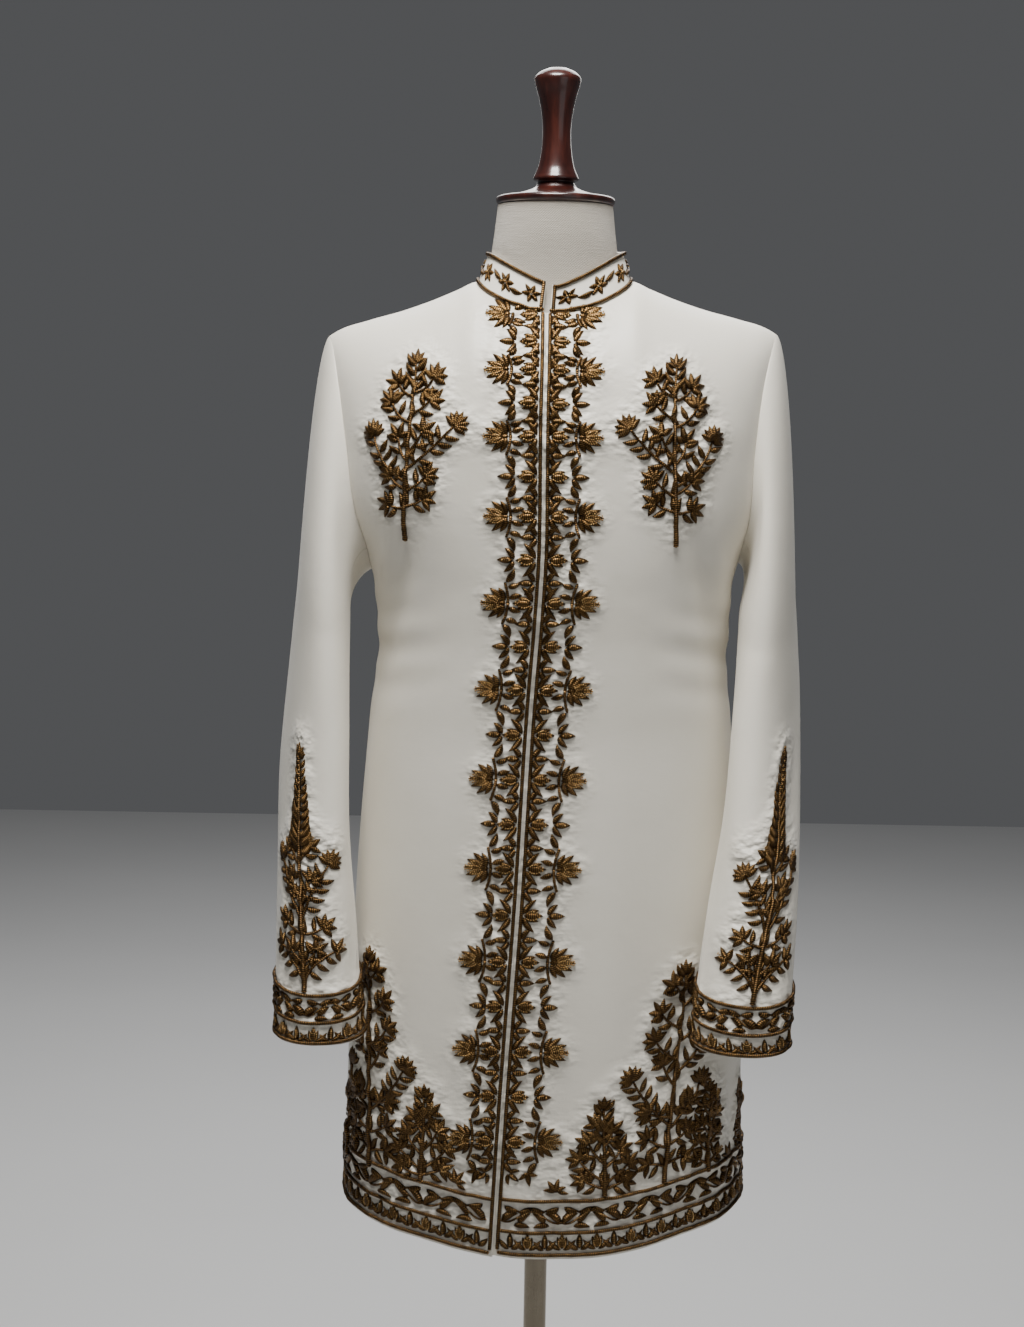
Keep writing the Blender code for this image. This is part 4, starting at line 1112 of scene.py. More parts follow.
BUSH = (
    Branch(0.06, -0.190, 0.130, 0.04, 5),
    Branch(0.07, 0.200, 0.140, 0.04, 5),
    Branch(0.12, -0.230, 0.300, 0.10, 5),
    Branch(0.14, 0.250, 0.340, 0.10, 5),
    Branch(0.28, -0.150, 0.460, 0.12, 5),
    Branch(0.32, 0.160, 0.520, 0.10, 5),
    Branch(0.50, -0.080, 0.640, 0.12, 4),
    Branch(0.54, 0.080, 0.700, 0.12, 4),
)
POPLAR = (
    Branch(0.08, -0.120, 0.150, 0.06, 4),
    Branch(0.09, 0.120, 0.160, 0.06, 4),
    Branch(0.22, -0.120, 0.330, 0.10, 5),
    Branch(0.26, 0.120, 0.390, 0.10, 5),
    Branch(0.42, -0.100, 0.520, 0.12, 5),
    Branch(0.46, 0.100, 0.590, 0.10, 5),
    Branch(0.62, -0.080, 0.710, 0.12, 4),
    Branch(0.66, 0.070, 0.770, 0.12, 4),
)
SPIRE = (
    Branch(0.03, -0.120, 0.160, -0.24, 4),
    Branch(0.03, 0.130, 0.165, -0.24, 4),
    Branch(0.12, -0.045, 0.165, 0.12, 4),
    Branch(0.12, 0.050, 0.170, 0.12, 4),
    Branch(0.24, -0.085, 0.265, 0.12, 5),
    Branch(0.24, 0.085, 0.270, 0.12, 5),
    Branch(0.29, -0.130, 0.500, -0.06, 7),
    Branch(0.29, 0.130, 0.530, -0.06, 8),
    Branch(0.34, -0.045, 0.450, -0.05, 5),
    Branch(0.35, 0.050, 0.460, -0.05, 5),
    Branch(0.52, -0.050, 0.565, 0.12, 4),
    Branch(0.54, 0.050, 0.600, 0.12, 4),
)


def tree(branches, height, leaf_size, top=0.10, sway=0.02, spire=0.0):
    """A stitched tree of this height from its foot at the origin: a trunk, bowed branches with leaves,
    and a leafy top.

    Each branch is a cubic Bezier curve that leaves the trunk upward. Leaves stand in pairs along it and
    fan at its end, where seed beads cover them.
    """
    trunk_path = curve((0, 0), (0, 0.3), (sway, 0.6), (sway, 1 - top), count=24)
    parts = [Pattern(stems=[(trunk_path, (0.0026 / height, 0.0012 / height))])]
    size = leaf_size / height
    for number, branch in enumerate(branches):
        foot = np.array([np.interp(branch.start, trunk_path[:, 1], trunk_path[:, 0]), branch.start])
        end = foot[0] + branch.across, branch.up
        run = np.array(end) - foot
        off = np.array([-run[1], run[0]]) * branch.bow * np.sign(branch.across)
        path = curve(foot, foot + 0.33 * run - off * 0.9, foot + 0.75 * run - off * 0.6, end)
        parts.append(Pattern(stems=[(path, (0.0017 / height, 0.0011 / height))]))
        way = path[-1] - path[-3]
        angle = np.degrees(np.arctan2(way[1], way[0]))
        parts.append(
            fan(branch.leaves, 80, 1.18 * size, 0.02 * size, 0.45 * size).moved(end[0], end[1], angle)
        )
        if number % 2:
            parts.append(
                seed_rows(
                    0.25 * size, 0.85 * size, 0.16 * size, 5, 0.0008 / height
                ).moved(end[0], end[1], angle)
            )
        length = np.hypot(*run)
        for k, share in enumerate(np.arange(0.22, 0.90, 0.34 * size / length)):
            place = path[int(share * (len(path) - 1))]
            slant = 56 if (k + number) % 2 else -56
            parts.append(
                leaf(place[0], place[1], angle + slant, 1.04 * size, 0.42 * size, 0.10 * np.sign(slant))
            )
    tip = trunk_path[-1]
    parts.append(fan(5, 62, size, 0.0).moved(tip[0], tip[1], 90))
    low = max(branch.start for branch in branches) + 0.02
    long = 1.55 * size if spire else 1.08 * size
    for k, up in enumerate(np.arange(low, 1 - top, 0.28 * size)):
        across = np.interp(up, trunk_path[:, 1], trunk_path[:, 0])
        shrink = 1 - spire * (up - low) / (1 - low)
        slant = 40 if k % 2 else -40
        parts.append(
            leaf(across, up, 90 + slant, long * shrink, 0.40 * long * shrink, 0.10 * np.sign(slant))
        )
        if spire:
            parts.append(Pattern(beads=[(across, up + 0.1 * size, 0.0009 / height)]))
    return total(parts).moved(size=height)


def border_scroll(pitch):
    """One unit of the border's upper row, as long as pitch: curled double leaves over slanted ones.
    Middle at (0, 0)."""
    u = pitch / 0.029
    stem = curve((-0.0150 * u, -0.0050), (-0.004 * u, -0.0110), (0.005 * u, 0.006), (0.0150 * u, 0.0050))
    return total(
        [
            leaf(-0.0140 * u, -0.0068, 32, 0.0185 * u, 0.0080, 0.16),
            leaf(-0.0120 * u, 0.0090, -14, 0.0150 * u, 0.0066, -0.14),
            leaf(0.0016 * u, -0.0066, 40, 0.0158 * u, 0.0072, 0.14),
            leaf(0.0146 * u, 0.0092, 200, 0.0148 * u, 0.0064, 0.14),
            leaf(-0.0030 * u, -0.0092, -4, 0.0160 * u, 0.0060, 0.10),
            Pattern(stems=[(stem, (0.0010, 0.0010))]),
            Pattern(beads=[((0.001 + 0.0022 * k) * u, 0.0012 * k - 0.001, 0.0009) for k in range(5)]),
        ]
    )


def border_rows(length, start, scroll_height, bud_height, row_height, scroll_pitch):
    """The border along +x from start over a length: scrolls in the upper row, tulips and buds by turns
    in the lower one."""
    scrolls = max(round(length / scroll_pitch), 1)
    pitch = length / scrolls
    parts = [
        border_scroll(pitch).moved(
            start + (k + 0.5) * pitch, scroll_height, flip=-1 if k % 2 else 1
        ) for k in range(scrolls)
    ]
    buds = max(round(length / 0.0160), 1)
    step = length / buds
    bud = three_leaves(0.0134 * row_height)
    flower = tulip(0.0136 * row_height)
    for k in range(buds):
        parts.append((flower if k % 2 else bud).moved(start + (k + 0.5) * step, bud_height, 90))
    return total(parts)


def collar_motifs(length):
    """Motifs along half the collar, from its front end: beaded flowers by turns with a flower between
    two long leaves."""
    parts = []
    for k, x in enumerate(np.linspace(0.014, length - 0.010, 7)):
        flower = fan(6, 150, 0.0102, 0.0010, 0.0056, 0.0, 0.0)
        flower = flower + Pattern(
            beads=[(0, 0, 0.0014), (0.0022, 0, 0.0009), (-0.0022, 0, 0.0009), (0, 0.0022, 0.0009)]
        )
        if k % 2:
            flower = flower + leaf(0.007, -0.001, 10, 0.0160, 0.0066, -0.10) + leaf(
                -0.007, -0.001, 170, 0.0160, 0.0066, 0.10
            )
        parts.append(flower.moved(x, 0, 15))
    return total(parts)


# One leaf's mesh: rings of six points, as place across and height, which close in two poles
LEAF_STATIONS = (0.12, 0.30, 0.50, 0.72, 0.90)
LEAF_RING = ((1.0, 0.0), (0.60, 0.72), (0.0, 0.92), (-0.60, 0.72), (-1.0, 0.0), (0.0, -0.60))


def leaf_mesh():
    """One leaf: a ring of six points at each of LEAF_STATIONS along it, closed by a pole at both
    ends."""
    along = np.concatenate([np.repeat(LEAF_STATIONS, 6), [0.0, 1.0]])
    ring = np.concatenate([np.tile(LEAF_RING, (len(LEAF_STATIONS), 1)), [[0, 0], [0, -0.1]]])
    quads = grid_quads(len(LEAF_STATIONS), 6, closed=True)
    k = np.arange(6)
    after, last, foot = (k + 1) % 6, 6 * (len(LEAF_STATIONS) - 1), 6 * len(LEAF_STATIONS)
    first = np.stack([after, k, np.full(6, foot)], -1)
    end = np.stack([last + k, last + after, np.full(6, foot + 1)], -1)
    return along, ring, quads, np.concatenate([first, end])


def leaves_mesh(leaves, lay):
    """Every leaf at once: a bowed centre line, a width that swells as a sine and a domed height, laid
    on the cloth."""
    along, ring, quads, triangles = leaf_mesh()
    base, tip, width, bow = leaves[:, :2], leaves[:, 2:4], leaves[:, 4], leaves[:, 5]
    run = tip - base
    length = np.linalg.norm(run, axis=1)
    across = np.stack([-run[:, 1], run[:, 0]], axis=-1)
    swell = np.sin(pi * along**0.80) ** 0.85
    centre = base[:, None] + run[:, None] * along[:, None] + across[:, None] * (
        bow[:, None] * 4 * along * (1 - along)
    )[..., None]
    slope = bow[:, None] * 4 * (1 - 2 * along)
    aside = unit(
        across[:, None] / length[:, None, None] - slope[..., None] * run[:, None] / length[:, None, None]
    )
    flat = centre + aside * (0.5 * width[:, None] * swell * ring[:, 0])[..., None]
    points, normals = lay(flat.reshape(-1, 2))
    rise = (0.46 * width[:, None] * swell**0.7 * ring[:, 1] + 0.0001).reshape(-1, 1)
    count = len(along)
    starts = np.arange(len(leaves)) * count
    uv = np.stack(
        np.broadcast_arrays(length[:, None] * along + 0.37 * starts[:, None], ring[:, 0][None]), axis=-1
    )
    return (
        points + normals * rise,
        (quads[None] + starts[:, None, None]).reshape(-1, 4),
        (triangles[None] + starts[:, None, None]).reshape(-1, 3),
        uv.reshape(-1, 2),
    )


def beads_mesh(beads, lay):
    """Every bead at once: a ball of two rings of five and two poles, standing on the stitching under it."""
    angles = np.linspace(0, 2 * pi, 6)[:-1]
    rings = [
        np.stack([0.87 * np.cos(angles + a), 0.87 * np.sin(angles + a), np.full(5, h)], -1)
        for a, h in ((0, -0.5), (0.63, 0.5))
    ]
    ball = np.concatenate(rings + [[[0, 0, -1.0], [0, 0, 1.0]]])
    k = np.arange(5)
    after = (k + 1) % 5
    quads = np.zeros((0, 4), int)
    triangles = np.concatenate(
        [
            np.stack([k, after, k + 5], -1),
            np.stack([after, after + 5, k + 5], -1),
            np.stack([after, k, np.full(5, 10)], -1),
            np.stack([k + 5, after + 5, np.full(5, 11)], -1),
        ]
    )
    flat = beads[:, None, :2] + ball[None, :, :2] * beads[:, None, 2:]
    points, normals = lay(flat.reshape(-1, 2))
    rise = (BEAD_LIFT + beads[:, None, 2] * (0.6 + ball[None, :, 2])).reshape(-1, 1)
    starts = np.arange(len(beads)) * len(ball)
    uv = np.zeros((len(points), 2))
    return points + normals * rise, quads, (triangles[None] + starts[:, None, None]).reshape(-1, 3), uv


def stems_mesh(stems, lay):
    """Every stem at once: couched two-ply cords laid on the cloth."""
    parts = []
    for points, radii in stems:
        path = resample(points, 0.0014)
        ground, normals = lay(path)
        radius = np.linspace(radii[0], radii[1], len(path))[:, None]
        parts.append(tube(ground + normals * radius * 0.7, normals, radius, twist=0.0042))
    return join(parts)


BEAD_LIFT = 0.0013


def trunk_panel(face, side):
    """The surface of a trunk panel from (t, z)."""

    def surface(t, z):
        """The dressed trunk at t and height z."""
        return dress(t, fall(t, z, face), face, side)

    return surface


def from_edge(side):
    """The flat panel beside the front edge: across is the distance from it, up is the height."""

    def ground(flat):
        """Across is the way in from the front edge, and up is the height itself."""
        z = flat[:, 1]
        return front_edge_step(z) + side * cloth_step(flat[:, 0], z), z

    return ground


def from_foot(along, z0, flip=1, lean=0.0):
    """A flat panel about one foot: along is the foot's distance round the cloth from the middle, z0 its
    height."""

    def ground(flat):
        """Across and up are measured from the foot, leaned over in step with the height."""
        z = z0 + flat[:, 1]
        return cloth_step(along + flip * flat[:, 0] + lean * flat[:, 1], z), z

    return ground


def from_hem(side, flip):
    """A strip along the hem: across is the distance round from the middle, up is the height over the
    hem."""

    def ground(flat):
        """Across is a share of half the hem, and up is measured from the hem's own curve."""
        t = flip * flat[:, 0] / HEM_HALF
        return t, hem_height(t, side) + flat[:, 1]

    return ground


def arc_tables(side):
    """For rows of heights: the sleeve's girth, and its angle at even shares of the way round from the
    outer side."""
    angles = np.linspace(0, 2 * pi, 361)
    heights = np.linspace(SLEEVES[side][-1].height - 0.002, 1.18, 60)
    rings = ring_points(side, heights[:, None], angles[None])
    arcs = np.concatenate(
        [np.zeros((60, 1)), np.cumsum(np.linalg.norm(np.diff(rings, axis=1), axis=-1), axis=1)], axis=1
    )
    shares = np.linspace(0, 1, 401)
    table = np.array([np.interp(shares, arc / arc[-1], angles) for arc in arcs])
    return heights, arcs[:, -1], table


def sample(grid, u, v):
    """A grid's values at shares u of its rows and v of its columns, straight between its points."""
    place = np.stack(
        [np.clip(u, 0, 1) * (grid.shape[0] - 1.001), np.clip(v, 0, 1) * (grid.shape[1] - 1.001)]
    )
    (i, j), (a, b) = np.floor(place).astype(int), place - np.floor(place)
    a, b = (x.reshape(x.shape + (1,) * (grid.ndim - 2)) for x in (a, b))
    top = grid[i, j] * (1 - b) + grid[i, j + 1] * b
    return top * (1 - a) + (grid[i + 1, j] * (1 - b) + grid[i + 1, j + 1] * b) * a


def sleeve_angle(side, along, height):
    """The angle at a distance round the sleeve from its outer side."""
    heights, girths, table = ARCS[side]
    share = (along / np.interp(height, heights, girths)) % 1.0
    return sample(table, (height - heights[0]) / (heights[-1] - heights[0]), share)


def from_arm(side, foot, tip):
    """A flat panel on the sleeve about a tree, between its foot's and its tip's (angle in degrees,
    height)."""
    heights, girths, table = ARCS[side]
    shares = np.linspace(0, 1, 401)
    arcs = []
    for angle, height in (foot, tip):
        row = table[int(np.interp(height, heights, np.arange(60)))]
        arcs.append(np.interp(radians(angle), row, shares) * np.interp(height, heights, girths))
    lean = (arcs[1] - arcs[0]) / (tip[1] - foot[1])

    def ground(flat):
        """Up is measured from the foot, and across is an arc round the sleeve at that height."""
        height = foot[1] + flat[:, 1]
        return sleeve_angle(side, arcs[0] + flat[:, 0] + lean * flat[:, 1], height) / (2 * pi), height

    return ground


def from_cuff(side):
    """A strip round the cuff: across is the share of the way round, up is the height over the cuff's
    edge."""

    def ground(flat):
        """Across is a share of the cuff's way round, and up is measured from the cuff's edge."""
        height = SLEEVES[side][-1].height + flat[:, 1]
        return sleeve_angle(
            side, flat[:, 0] / CUFF_GIRTH * np.interp(height, *ARCS[side][:2]), height
        ) / (2 * pi), height

    return ground


HEM_HALF = float(smooth(SECTIONS, "half", 0.60)) * QUARTER
CUFF_GIRTH = 0.254
ARCS = {side: arc_tables(side) for side in (-1, 1)}

# The vine beside the front edge: its flowers' heights, and how far its stem runs from the edge
FLOWER_HEIGHTS = (0.6954, 0.7800, 0.8641, 0.9506, 1.0332, 1.1168, 1.1974, 1.2770, 1.3500, 1.4110, 1.4640)
VINE_WIDE = {
    -1: ((0.70, 1.10, 1.40), (0.0260, 0.0280, 0.0310)), 1: ((0.70, 1.10, 1.40), (0.0330, 0.0310, 0.0300))
}


def vine(side):
    """The vine from flower to flower beside the front edge, with a fan and three leaves at its foot."""
    parts = []
    for k, z in enumerate(FLOWER_HEIGHTS):
        wide = float(np.interp(z, *VINE_WIDE[side]))
        below = z - FLOWER_HEIGHTS[k - 1] if k else 0.080
        above = FLOWER_HEIGHTS[k + 1] - z if k + 1 < len(FLOWER_HEIGHTS) else 0.0
        parts.append(vine_repeat(above, below, wide).moved(0, z))
    foot = FLOWER_HEIGHTS[0] - 0.026
    wide = float(np.interp(0.70, *VINE_WIDE[side]))
    parts.append(
        fan(3, 60, 0.0140).moved(
            wide - 0.006, foot - 0.002, -75
        ) + three_leaves(0.0120).moved(0.010, foot - 0.004, -35)
    )
    return total(parts)


def hem_border(start, length):
    """The border's rows in the hem's sizes."""
    return border_rows(
        length, start,
        scroll_height=0.0400, bud_height=0.0085, row_height=1.12, scroll_pitch=0.0290,
    )


def cuff_border():
    """The same rows in the cuff's sizes, all the way round."""
    return border_rows(
        CUFF_GIRTH, 0.0,
        scroll_height=0.0390, bud_height=0.0075, row_height=1.08, scroll_pitch=0.0230,
    )


def sprig(size):
    """Four leaves in a fan, with one that hangs back under them."""
    return fan(4, 70, size) + leaf(0, -0.15 * size, -105, 0.7 * size)


CHEST = tree(CHEST_TREE, 0.176, 0.0150, top=0.07)
TALL = tree(TALL_TREE, 0.208, 0.0150, top=0.06)
MEDIUM = tree(BUSH, 0.092, 0.0140, top=0.13)
SMALL = tree(POPLAR, 0.088, 0.0120, top=0.12)
ARM_TREE = tree(SPIRE, 0.224, 0.0140, top=0.05, sway=0.0, spire=0.55)

edge_right = -float(front_edge_step(0.60) - cloth_step(0.0075, 0.60)) * HEM_HALF
edge_left = float(front_edge_step(0.60) + cloth_step(0.0075, 0.60)) * HEM_HALF

STITCHING = {
    "front_right": (
        (trunk_panel(-1, -1), "front"),
        (vine(-1), from_edge(-1)),
        (CHEST, from_foot(-0.1450, 1.2520, 1, 0.076)),
        (TALL, from_foot(-0.1760, 0.6540, -1, -0.030)),
        (MEDIUM, from_foot(-0.1180, 0.6500, 1)),
        (SMALL, from_foot(-0.2180, 0.6540, -1)),
        (sprig(0.015).moved(0, 0, 75), from_foot(-0.0840, 0.6530)),
        (hem_border(edge_right, HEM_HALF - edge_right), from_hem(-1, -1)),
    ),
    "front_left": (
        (trunk_panel(-1, 1), "front"),
        (vine(1), from_edge(1)),
        (CHEST, from_foot(0.1150, 1.2516, -1, 0.030)),
        (TALL, from_foot(0.1171, 0.6530, 1, 0.074)),
        (MEDIUM, from_foot(0.0570, 0.6460, -1)),
        (SMALL, from_foot(0.1680, 0.6560, 1)),
        (sprig(0.015).moved(0, 0, 100), from_foot(0.0110, 0.6480)),
        (sprig(0.016).moved(0, 0, 90), from_foot(0.2000, 0.6620)),
        (SMALL.moved(size=0.8), from_foot(0.2350, 0.6620, 1)),
        (hem_border(edge_left, HEM_HALF - edge_left), from_hem(1, 1)),
    ),
    "back": (
        (trunk_panel(1, 0), "back"),
        (TALL, from_foot(-0.1750, 0.6500, 1)),
        (TALL, from_foot(0.1750, 0.6500, -1)),
        (TALL.moved(size=0.86), from_foot(0.0, 0.6450, 1)),
        (MEDIUM, from_foot(-0.1120, 0.6480, 1)),
        (MEDIUM, from_foot(0.1120, 0.6480, -1)),
        (SMALL, from_foot(-0.0560, 0.6460, 1)),
        (SMALL, from_foot(0.0560, 0.6460, -1)),
        (SMALL, from_foot(-0.2300, 0.6560, 1)),
        (SMALL, from_foot(0.2300, 0.6560, -1)),
        (hem_border(-HEM_HALF, 2 * HEM_HALF), from_hem(0, 1)),
    ),
    "sleeve_right": (
        (lambda share, height: sleeve_cloth(-1, height, share * 2 * pi), -1),
        (ARM_TREE, from_arm(-1, (64, 0.8446), (38, 1.0660))),
        (cuff_border(), from_cuff(-1)),
    ),
    "sleeve_left": (
        (lambda share, height: sleeve_cloth(1, height, share * 2 * pi), 1),
        (ARM_TREE, from_arm(1, (72, 0.8500), (21, 1.0640))),
        (cuff_border(), from_cuff(1)),
    ),
}

for (surface, field), *patterns in STITCHING.values():
    for pattern, ground in patterns:
        middles = (pattern.leaves[:, :2] + pattern.leaves[:, 2:4]) / 2
        ends = pattern.leaves[:, :2] * 0.25 + pattern.leaves[:, 2:4] * 0.75
        for spots in (middles, ends):
            if len(spots):
                PUCKERS[field].add(*ground(spots), 1.0)
        for points, _ in pattern.stems:
            PUCKERS[field].add(*ground(resample(points, 0.003)), 0.6)
for field in PUCKERS.values():
    field.settle()


class Value:
    """A socket of a material's nodes, on which arithmetic adds Math nodes."""

    def __init__(self, finish, socket):
        self.finish, self.socket = finish, socket

    def math(self, operation, *others):
        inputs = dict(enumerate((self, *others)))
        return self.finish.node("ShaderNodeMath", {"operation": operation}, inputs)

    def __add__(self, other):
        return self.math("ADD", other)

    def __sub__(self, other):
        return self.math("SUBTRACT", other)

    def __rsub__(self, other):
        return self.finish.node("ShaderNodeMath", {"operation": "SUBTRACT"}, {0: other, 1: self})

    def __mul__(self, other):
        return self.math("MULTIPLY", other)

    __radd__, __rmul__ = __add__, __mul__

    def sine(self):
        return self.math("SINE")

    def size(self):
        return self.math("ABSOLUTE")


class Finish:
    """One material: node() adds any node, and surface() sets or links the shader's sockets."""

    def __init__(self, name):
        """A new material and its Principled BSDF."""
        self.material = bpy.data.materials.new(name)
        self.material.use_nodes = True
        self.tree = self.material.node_tree
        self.shader = self.tree.nodes["Principled BSDF"]

    def node(self, kind, settings, inputs, output=0):
        """One node of a kind: its settings are made first, and then its sockets get values or links."""
        made = self.tree.nodes.new(kind)
        for name, value in settings.items():
            if name == "stops":
                while len(made.color_ramp.elements) < len(value):
                    made.color_ramp.elements.new(1.0)
                for element, (place, colour) in zip(made.color_ramp.elements, value):
                    element.position, element.color = place, (*colour, 1)
            else:
                setattr(made, name, value)
        for name, value in inputs.items():
            self.join(value, made.inputs[name])
        return Value(self, made.outputs[output])

    def join(self, value, socket):
        """Links a worked-out value to a socket, or writes a plain number or colour into it."""
        if isinstance(value, Value):
            self.tree.links.new(value.socket, socket)
        else:
            socket.default_value = value

    def surface(self, **values):
        """Fills the Principled BSDF's sockets, named in small letters."""
        for name, value in values.items():
            self.join(value, self.shader.inputs[name.replace("_", " ").title().replace("Ior", "IOR")])

    def place(self):
        """The place on the piece, in metres."""
        return self.node("ShaderNodeTexCoord", {}, {}, "Object")

    def flat(self):
        """The cloth's own measures: across and along, in metres."""
        made = self.node("ShaderNodeUVMap", {"uv_map": "cloth"}, {})
        parts = self.node("ShaderNodeSeparateXYZ", {}, {0: made})
        return parts, Value(self, parts.socket.node.outputs[1])

    def noise(self, where, scale, detail=3.0, rough=0.55):
        """Soft noise at a place."""
        return self.node(
            "ShaderNodeTexNoise",
            {},
            {"Vector": where, "Scale": scale, "Detail": detail, "Roughness": rough},
        )

    def stretched(self, where, scale):
        """A place with each way scaled by itself."""
        return self.node("ShaderNodeMapping", {}, {"Vector": where, "Scale": scale})

    def mix(self, share, first, second):
        """Two colours mixed by a share."""
        return self.node("ShaderNodeMix", {"data_type": "RGBA"}, {0: share, 6: first, 7: second}, 2)

    def ramp(self, share, stops):
        """A colour by a share, between the stops."""
        return self.node("ShaderNodeValToRGB", {"stops": stops}, {0: share})

    def bump(self, height, distance, strength=1.0, under=None):
        """A normal tilted by a height, which is in units of the distance."""
        inputs = {"Height": height, "Distance": distance, "Strength": strength}
        if under:
            inputs["Normal"] = under
        return self.node("ShaderNodeBump", {}, inputs)


def ivory_cloth():
    """A fine satin-faced weave: threads of 0.6 mm, faint slubs, a slow drift of the ivory, and gathers
    by the embroidery."""
    finish = Finish("ivory_cloth")
    across, along = finish.flat()
    drift = finish.noise(finish.place(), 9.0, 4.0)
    slub = finish.noise(finish.stretched(finish.place(), (90.0, 90.0, 700.0)), 1.0, 2.0)
    colour = finish.mix(drift, (0.740, 0.695, 0.590, 1), (0.825, 0.785, 0.690, 1))
    colour = finish.mix(slub * 0.25, colour, (0.70, 0.655, 0.58, 1))
    weave = (across * (2 * pi / 0.0012)).sine() * (along * (2 * pi / 0.0012)).sine()
    creases = finish.noise(finish.place(), 34.0, 3.0, 0.5)
    drawn = finish.node("ShaderNodeAttribute", {"attribute_name": "drawn"}, {}, 2)
    gathers = finish.noise(finish.stretched(finish.place(), (1.0, 1.0, 1.5)), 85.0, 1.5, 0.5)
    normal = finish.bump(creases, 0.0012, 0.35)
    normal = finish.bump(gathers * drawn, 0.0120, 1.0, normal)
    normal = finish.bump(weave + slub, 0.00006, 0.5, normal)
    finish.surface(base_color=colour, roughness=0.34 + 0.16 * slub, normal=normal)
    finish.surface(sheen_weight=0.15, sheen_roughness=0.45, specular_ior_level=0.50)
    return finish.material


def metal_thread(name, dark, middle, bright, pitch):
    """Coiled metal thread: diagonal turns of wire with painted shade in the gaps between them and a painted
    highlight on each turn, painted glints, and tarnish that comes and goes."""
    finish = Finish(name)
    along, across = finish.flat()
    turns = ((along * (2 * pi / pitch)) + (across.size() * 2.6)).sine() * 0.5 + 0.5
    tarnish = finish.noise(finish.place(), 160.0, 3.0)
    # Fine noise that paints glints of light into the colour.
    painted_glint = finish.noise(finish.place(), 900.0, 1.0)
    # The colour's share: the turns paint shade into the gaps and a highlight onto each turn, the painted
    # glints add sparks of light, and the tarnish varies the metal itself.
    share = turns * 0.62 + painted_glint * 0.55 + (tarnish - 0.5) * 0.5 - 0.10
    colour = finish.ramp(share, ((0.10, dark), (0.48, middle), (0.86, bright)))
    finish.surface(base_color=colour, metallic=0.92, roughness=0.28 + 0.22 * tarnish)
    finish.surface(normal=finish.bump(turns, 0.0004, 0.8), specular_ior_level=0.5)
    return finish.material


def linen_cover():
    """Plain linen: a 1.1 mm weave with thick and thin threads in both directions."""
    finish = Finish("linen_cover")
    across, along = finish.flat()
    uneven = finish.noise(finish.place(), 260.0, 2.0)
    warp = (across * (2 * pi / 0.0022) + uneven * 3.0).sine()
    weft = (along * (2 * pi / 0.0022) + uneven * 3.0).sine()
    weave = warp * weft
    threads = finish.noise(finish.stretched(finish.place(), (60.0, 60.0, 900.0)), 1.0, 2.0)
    patch = finish.noise(finish.place(), 14.0, 3.0)
    colour = finish.mix(threads, (0.40, 0.355, 0.290, 1), (0.60, 0.555, 0.480, 1))
    colour = finish.mix(patch * 0.5, colour, (0.50, 0.455, 0.385, 1))
    finish.surface(
        base_color=colour, roughness=0.88, normal=finish.bump(weave + threads * 1.5, 0.00035, 0.8)
    )
    finish.surface(sheen_weight=0.3, sheen_roughness=0.6, specular_ior_level=0.25)
    return finish.material


def polished_mahogany():
    """Polished red-brown wood: long grain with darker pores under a clear coat."""
    finish = Finish("polished_mahogany")
    grain = finish.noise(finish.stretched(finish.place(), (55.0, 55.0, 7.0)), 1.6, 6.0, 0.62)
    pores = finish.noise(finish.stretched(finish.place(), (700.0, 700.0, 60.0)), 1.0, 2.0)
    colour = finish.ramp(
        grain,
        ((0.25, (0.008, 0.002, 0.0015)), (0.52, (0.030, 0.006, 0.004)), (0.78, (0.075, 0.016, 0.009))),
    )
    colour = finish.mix((pores - 0.52) * 1.6, colour, (0.008, 0.003, 0.002, 1))
    finish.surface(
        base_color=colour, roughness=0.24 + 0.10 * grain, normal=finish.bump(pores, 0.00005, 0.3)
    )
    finish.surface(coat_weight=0.6, coat_roughness=0.10)
    return finish.material


def nickel_tube():
    """Drawn metal tube: fine scratches along it and a warm cast."""
    finish = Finish("nickel_tube")
    lines = finish.noise(finish.stretched(finish.place(), (900.0, 900.0, 5.0)), 1.0, 2.0)
    dull = finish.noise(finish.place(), 30.0, 3.0)
    finish.surface(
        base_color=finish.mix(dull, (0.17, 0.145, 0.11, 1), (0.27, 0.235, 0.18, 1)), metallic=1.0
    )
    finish.surface(roughness=0.16 + 0.16 * dull + 0.06 * lines, normal=finish.bump(lines, 0.00004, 0.4))
    return finish.material


def cast_base():
    """Dark lacquered metal with a fine orange-peel skin and worn, brighter specks."""
    finish = Finish("cast_base")
    skin = finish.noise(finish.place(), 220.0, 3.0)
    wear = finish.noise(finish.place(), 26.0, 5.0, 0.65)
    colour = finish.ramp(
        wear, ((0.35, (0.030, 0.026, 0.023)), (0.62, (0.060, 0.052, 0.045)), (0.80, (0.130, 0.110, 0.090)))
    )
    finish.surface(
        base_color=colour,
        metallic=0.55,
        roughness=0.34 + 0.22 * wear,
        normal=finish.bump(skin, 0.0002, 0.3),
    )
    return finish.material


def floor_finish():
    """A pale matt floor: two near greys, mixed by slow noise."""
    finish = Finish("pale_floor")
    tone = finish.noise(finish.place(), 1.2, 3.0)
    finish.surface(
        base_color=finish.mix(tone, (0.60, 0.60, 0.60, 1), (0.66, 0.66, 0.655, 1)), roughness=0.75
    )
    return finish.material


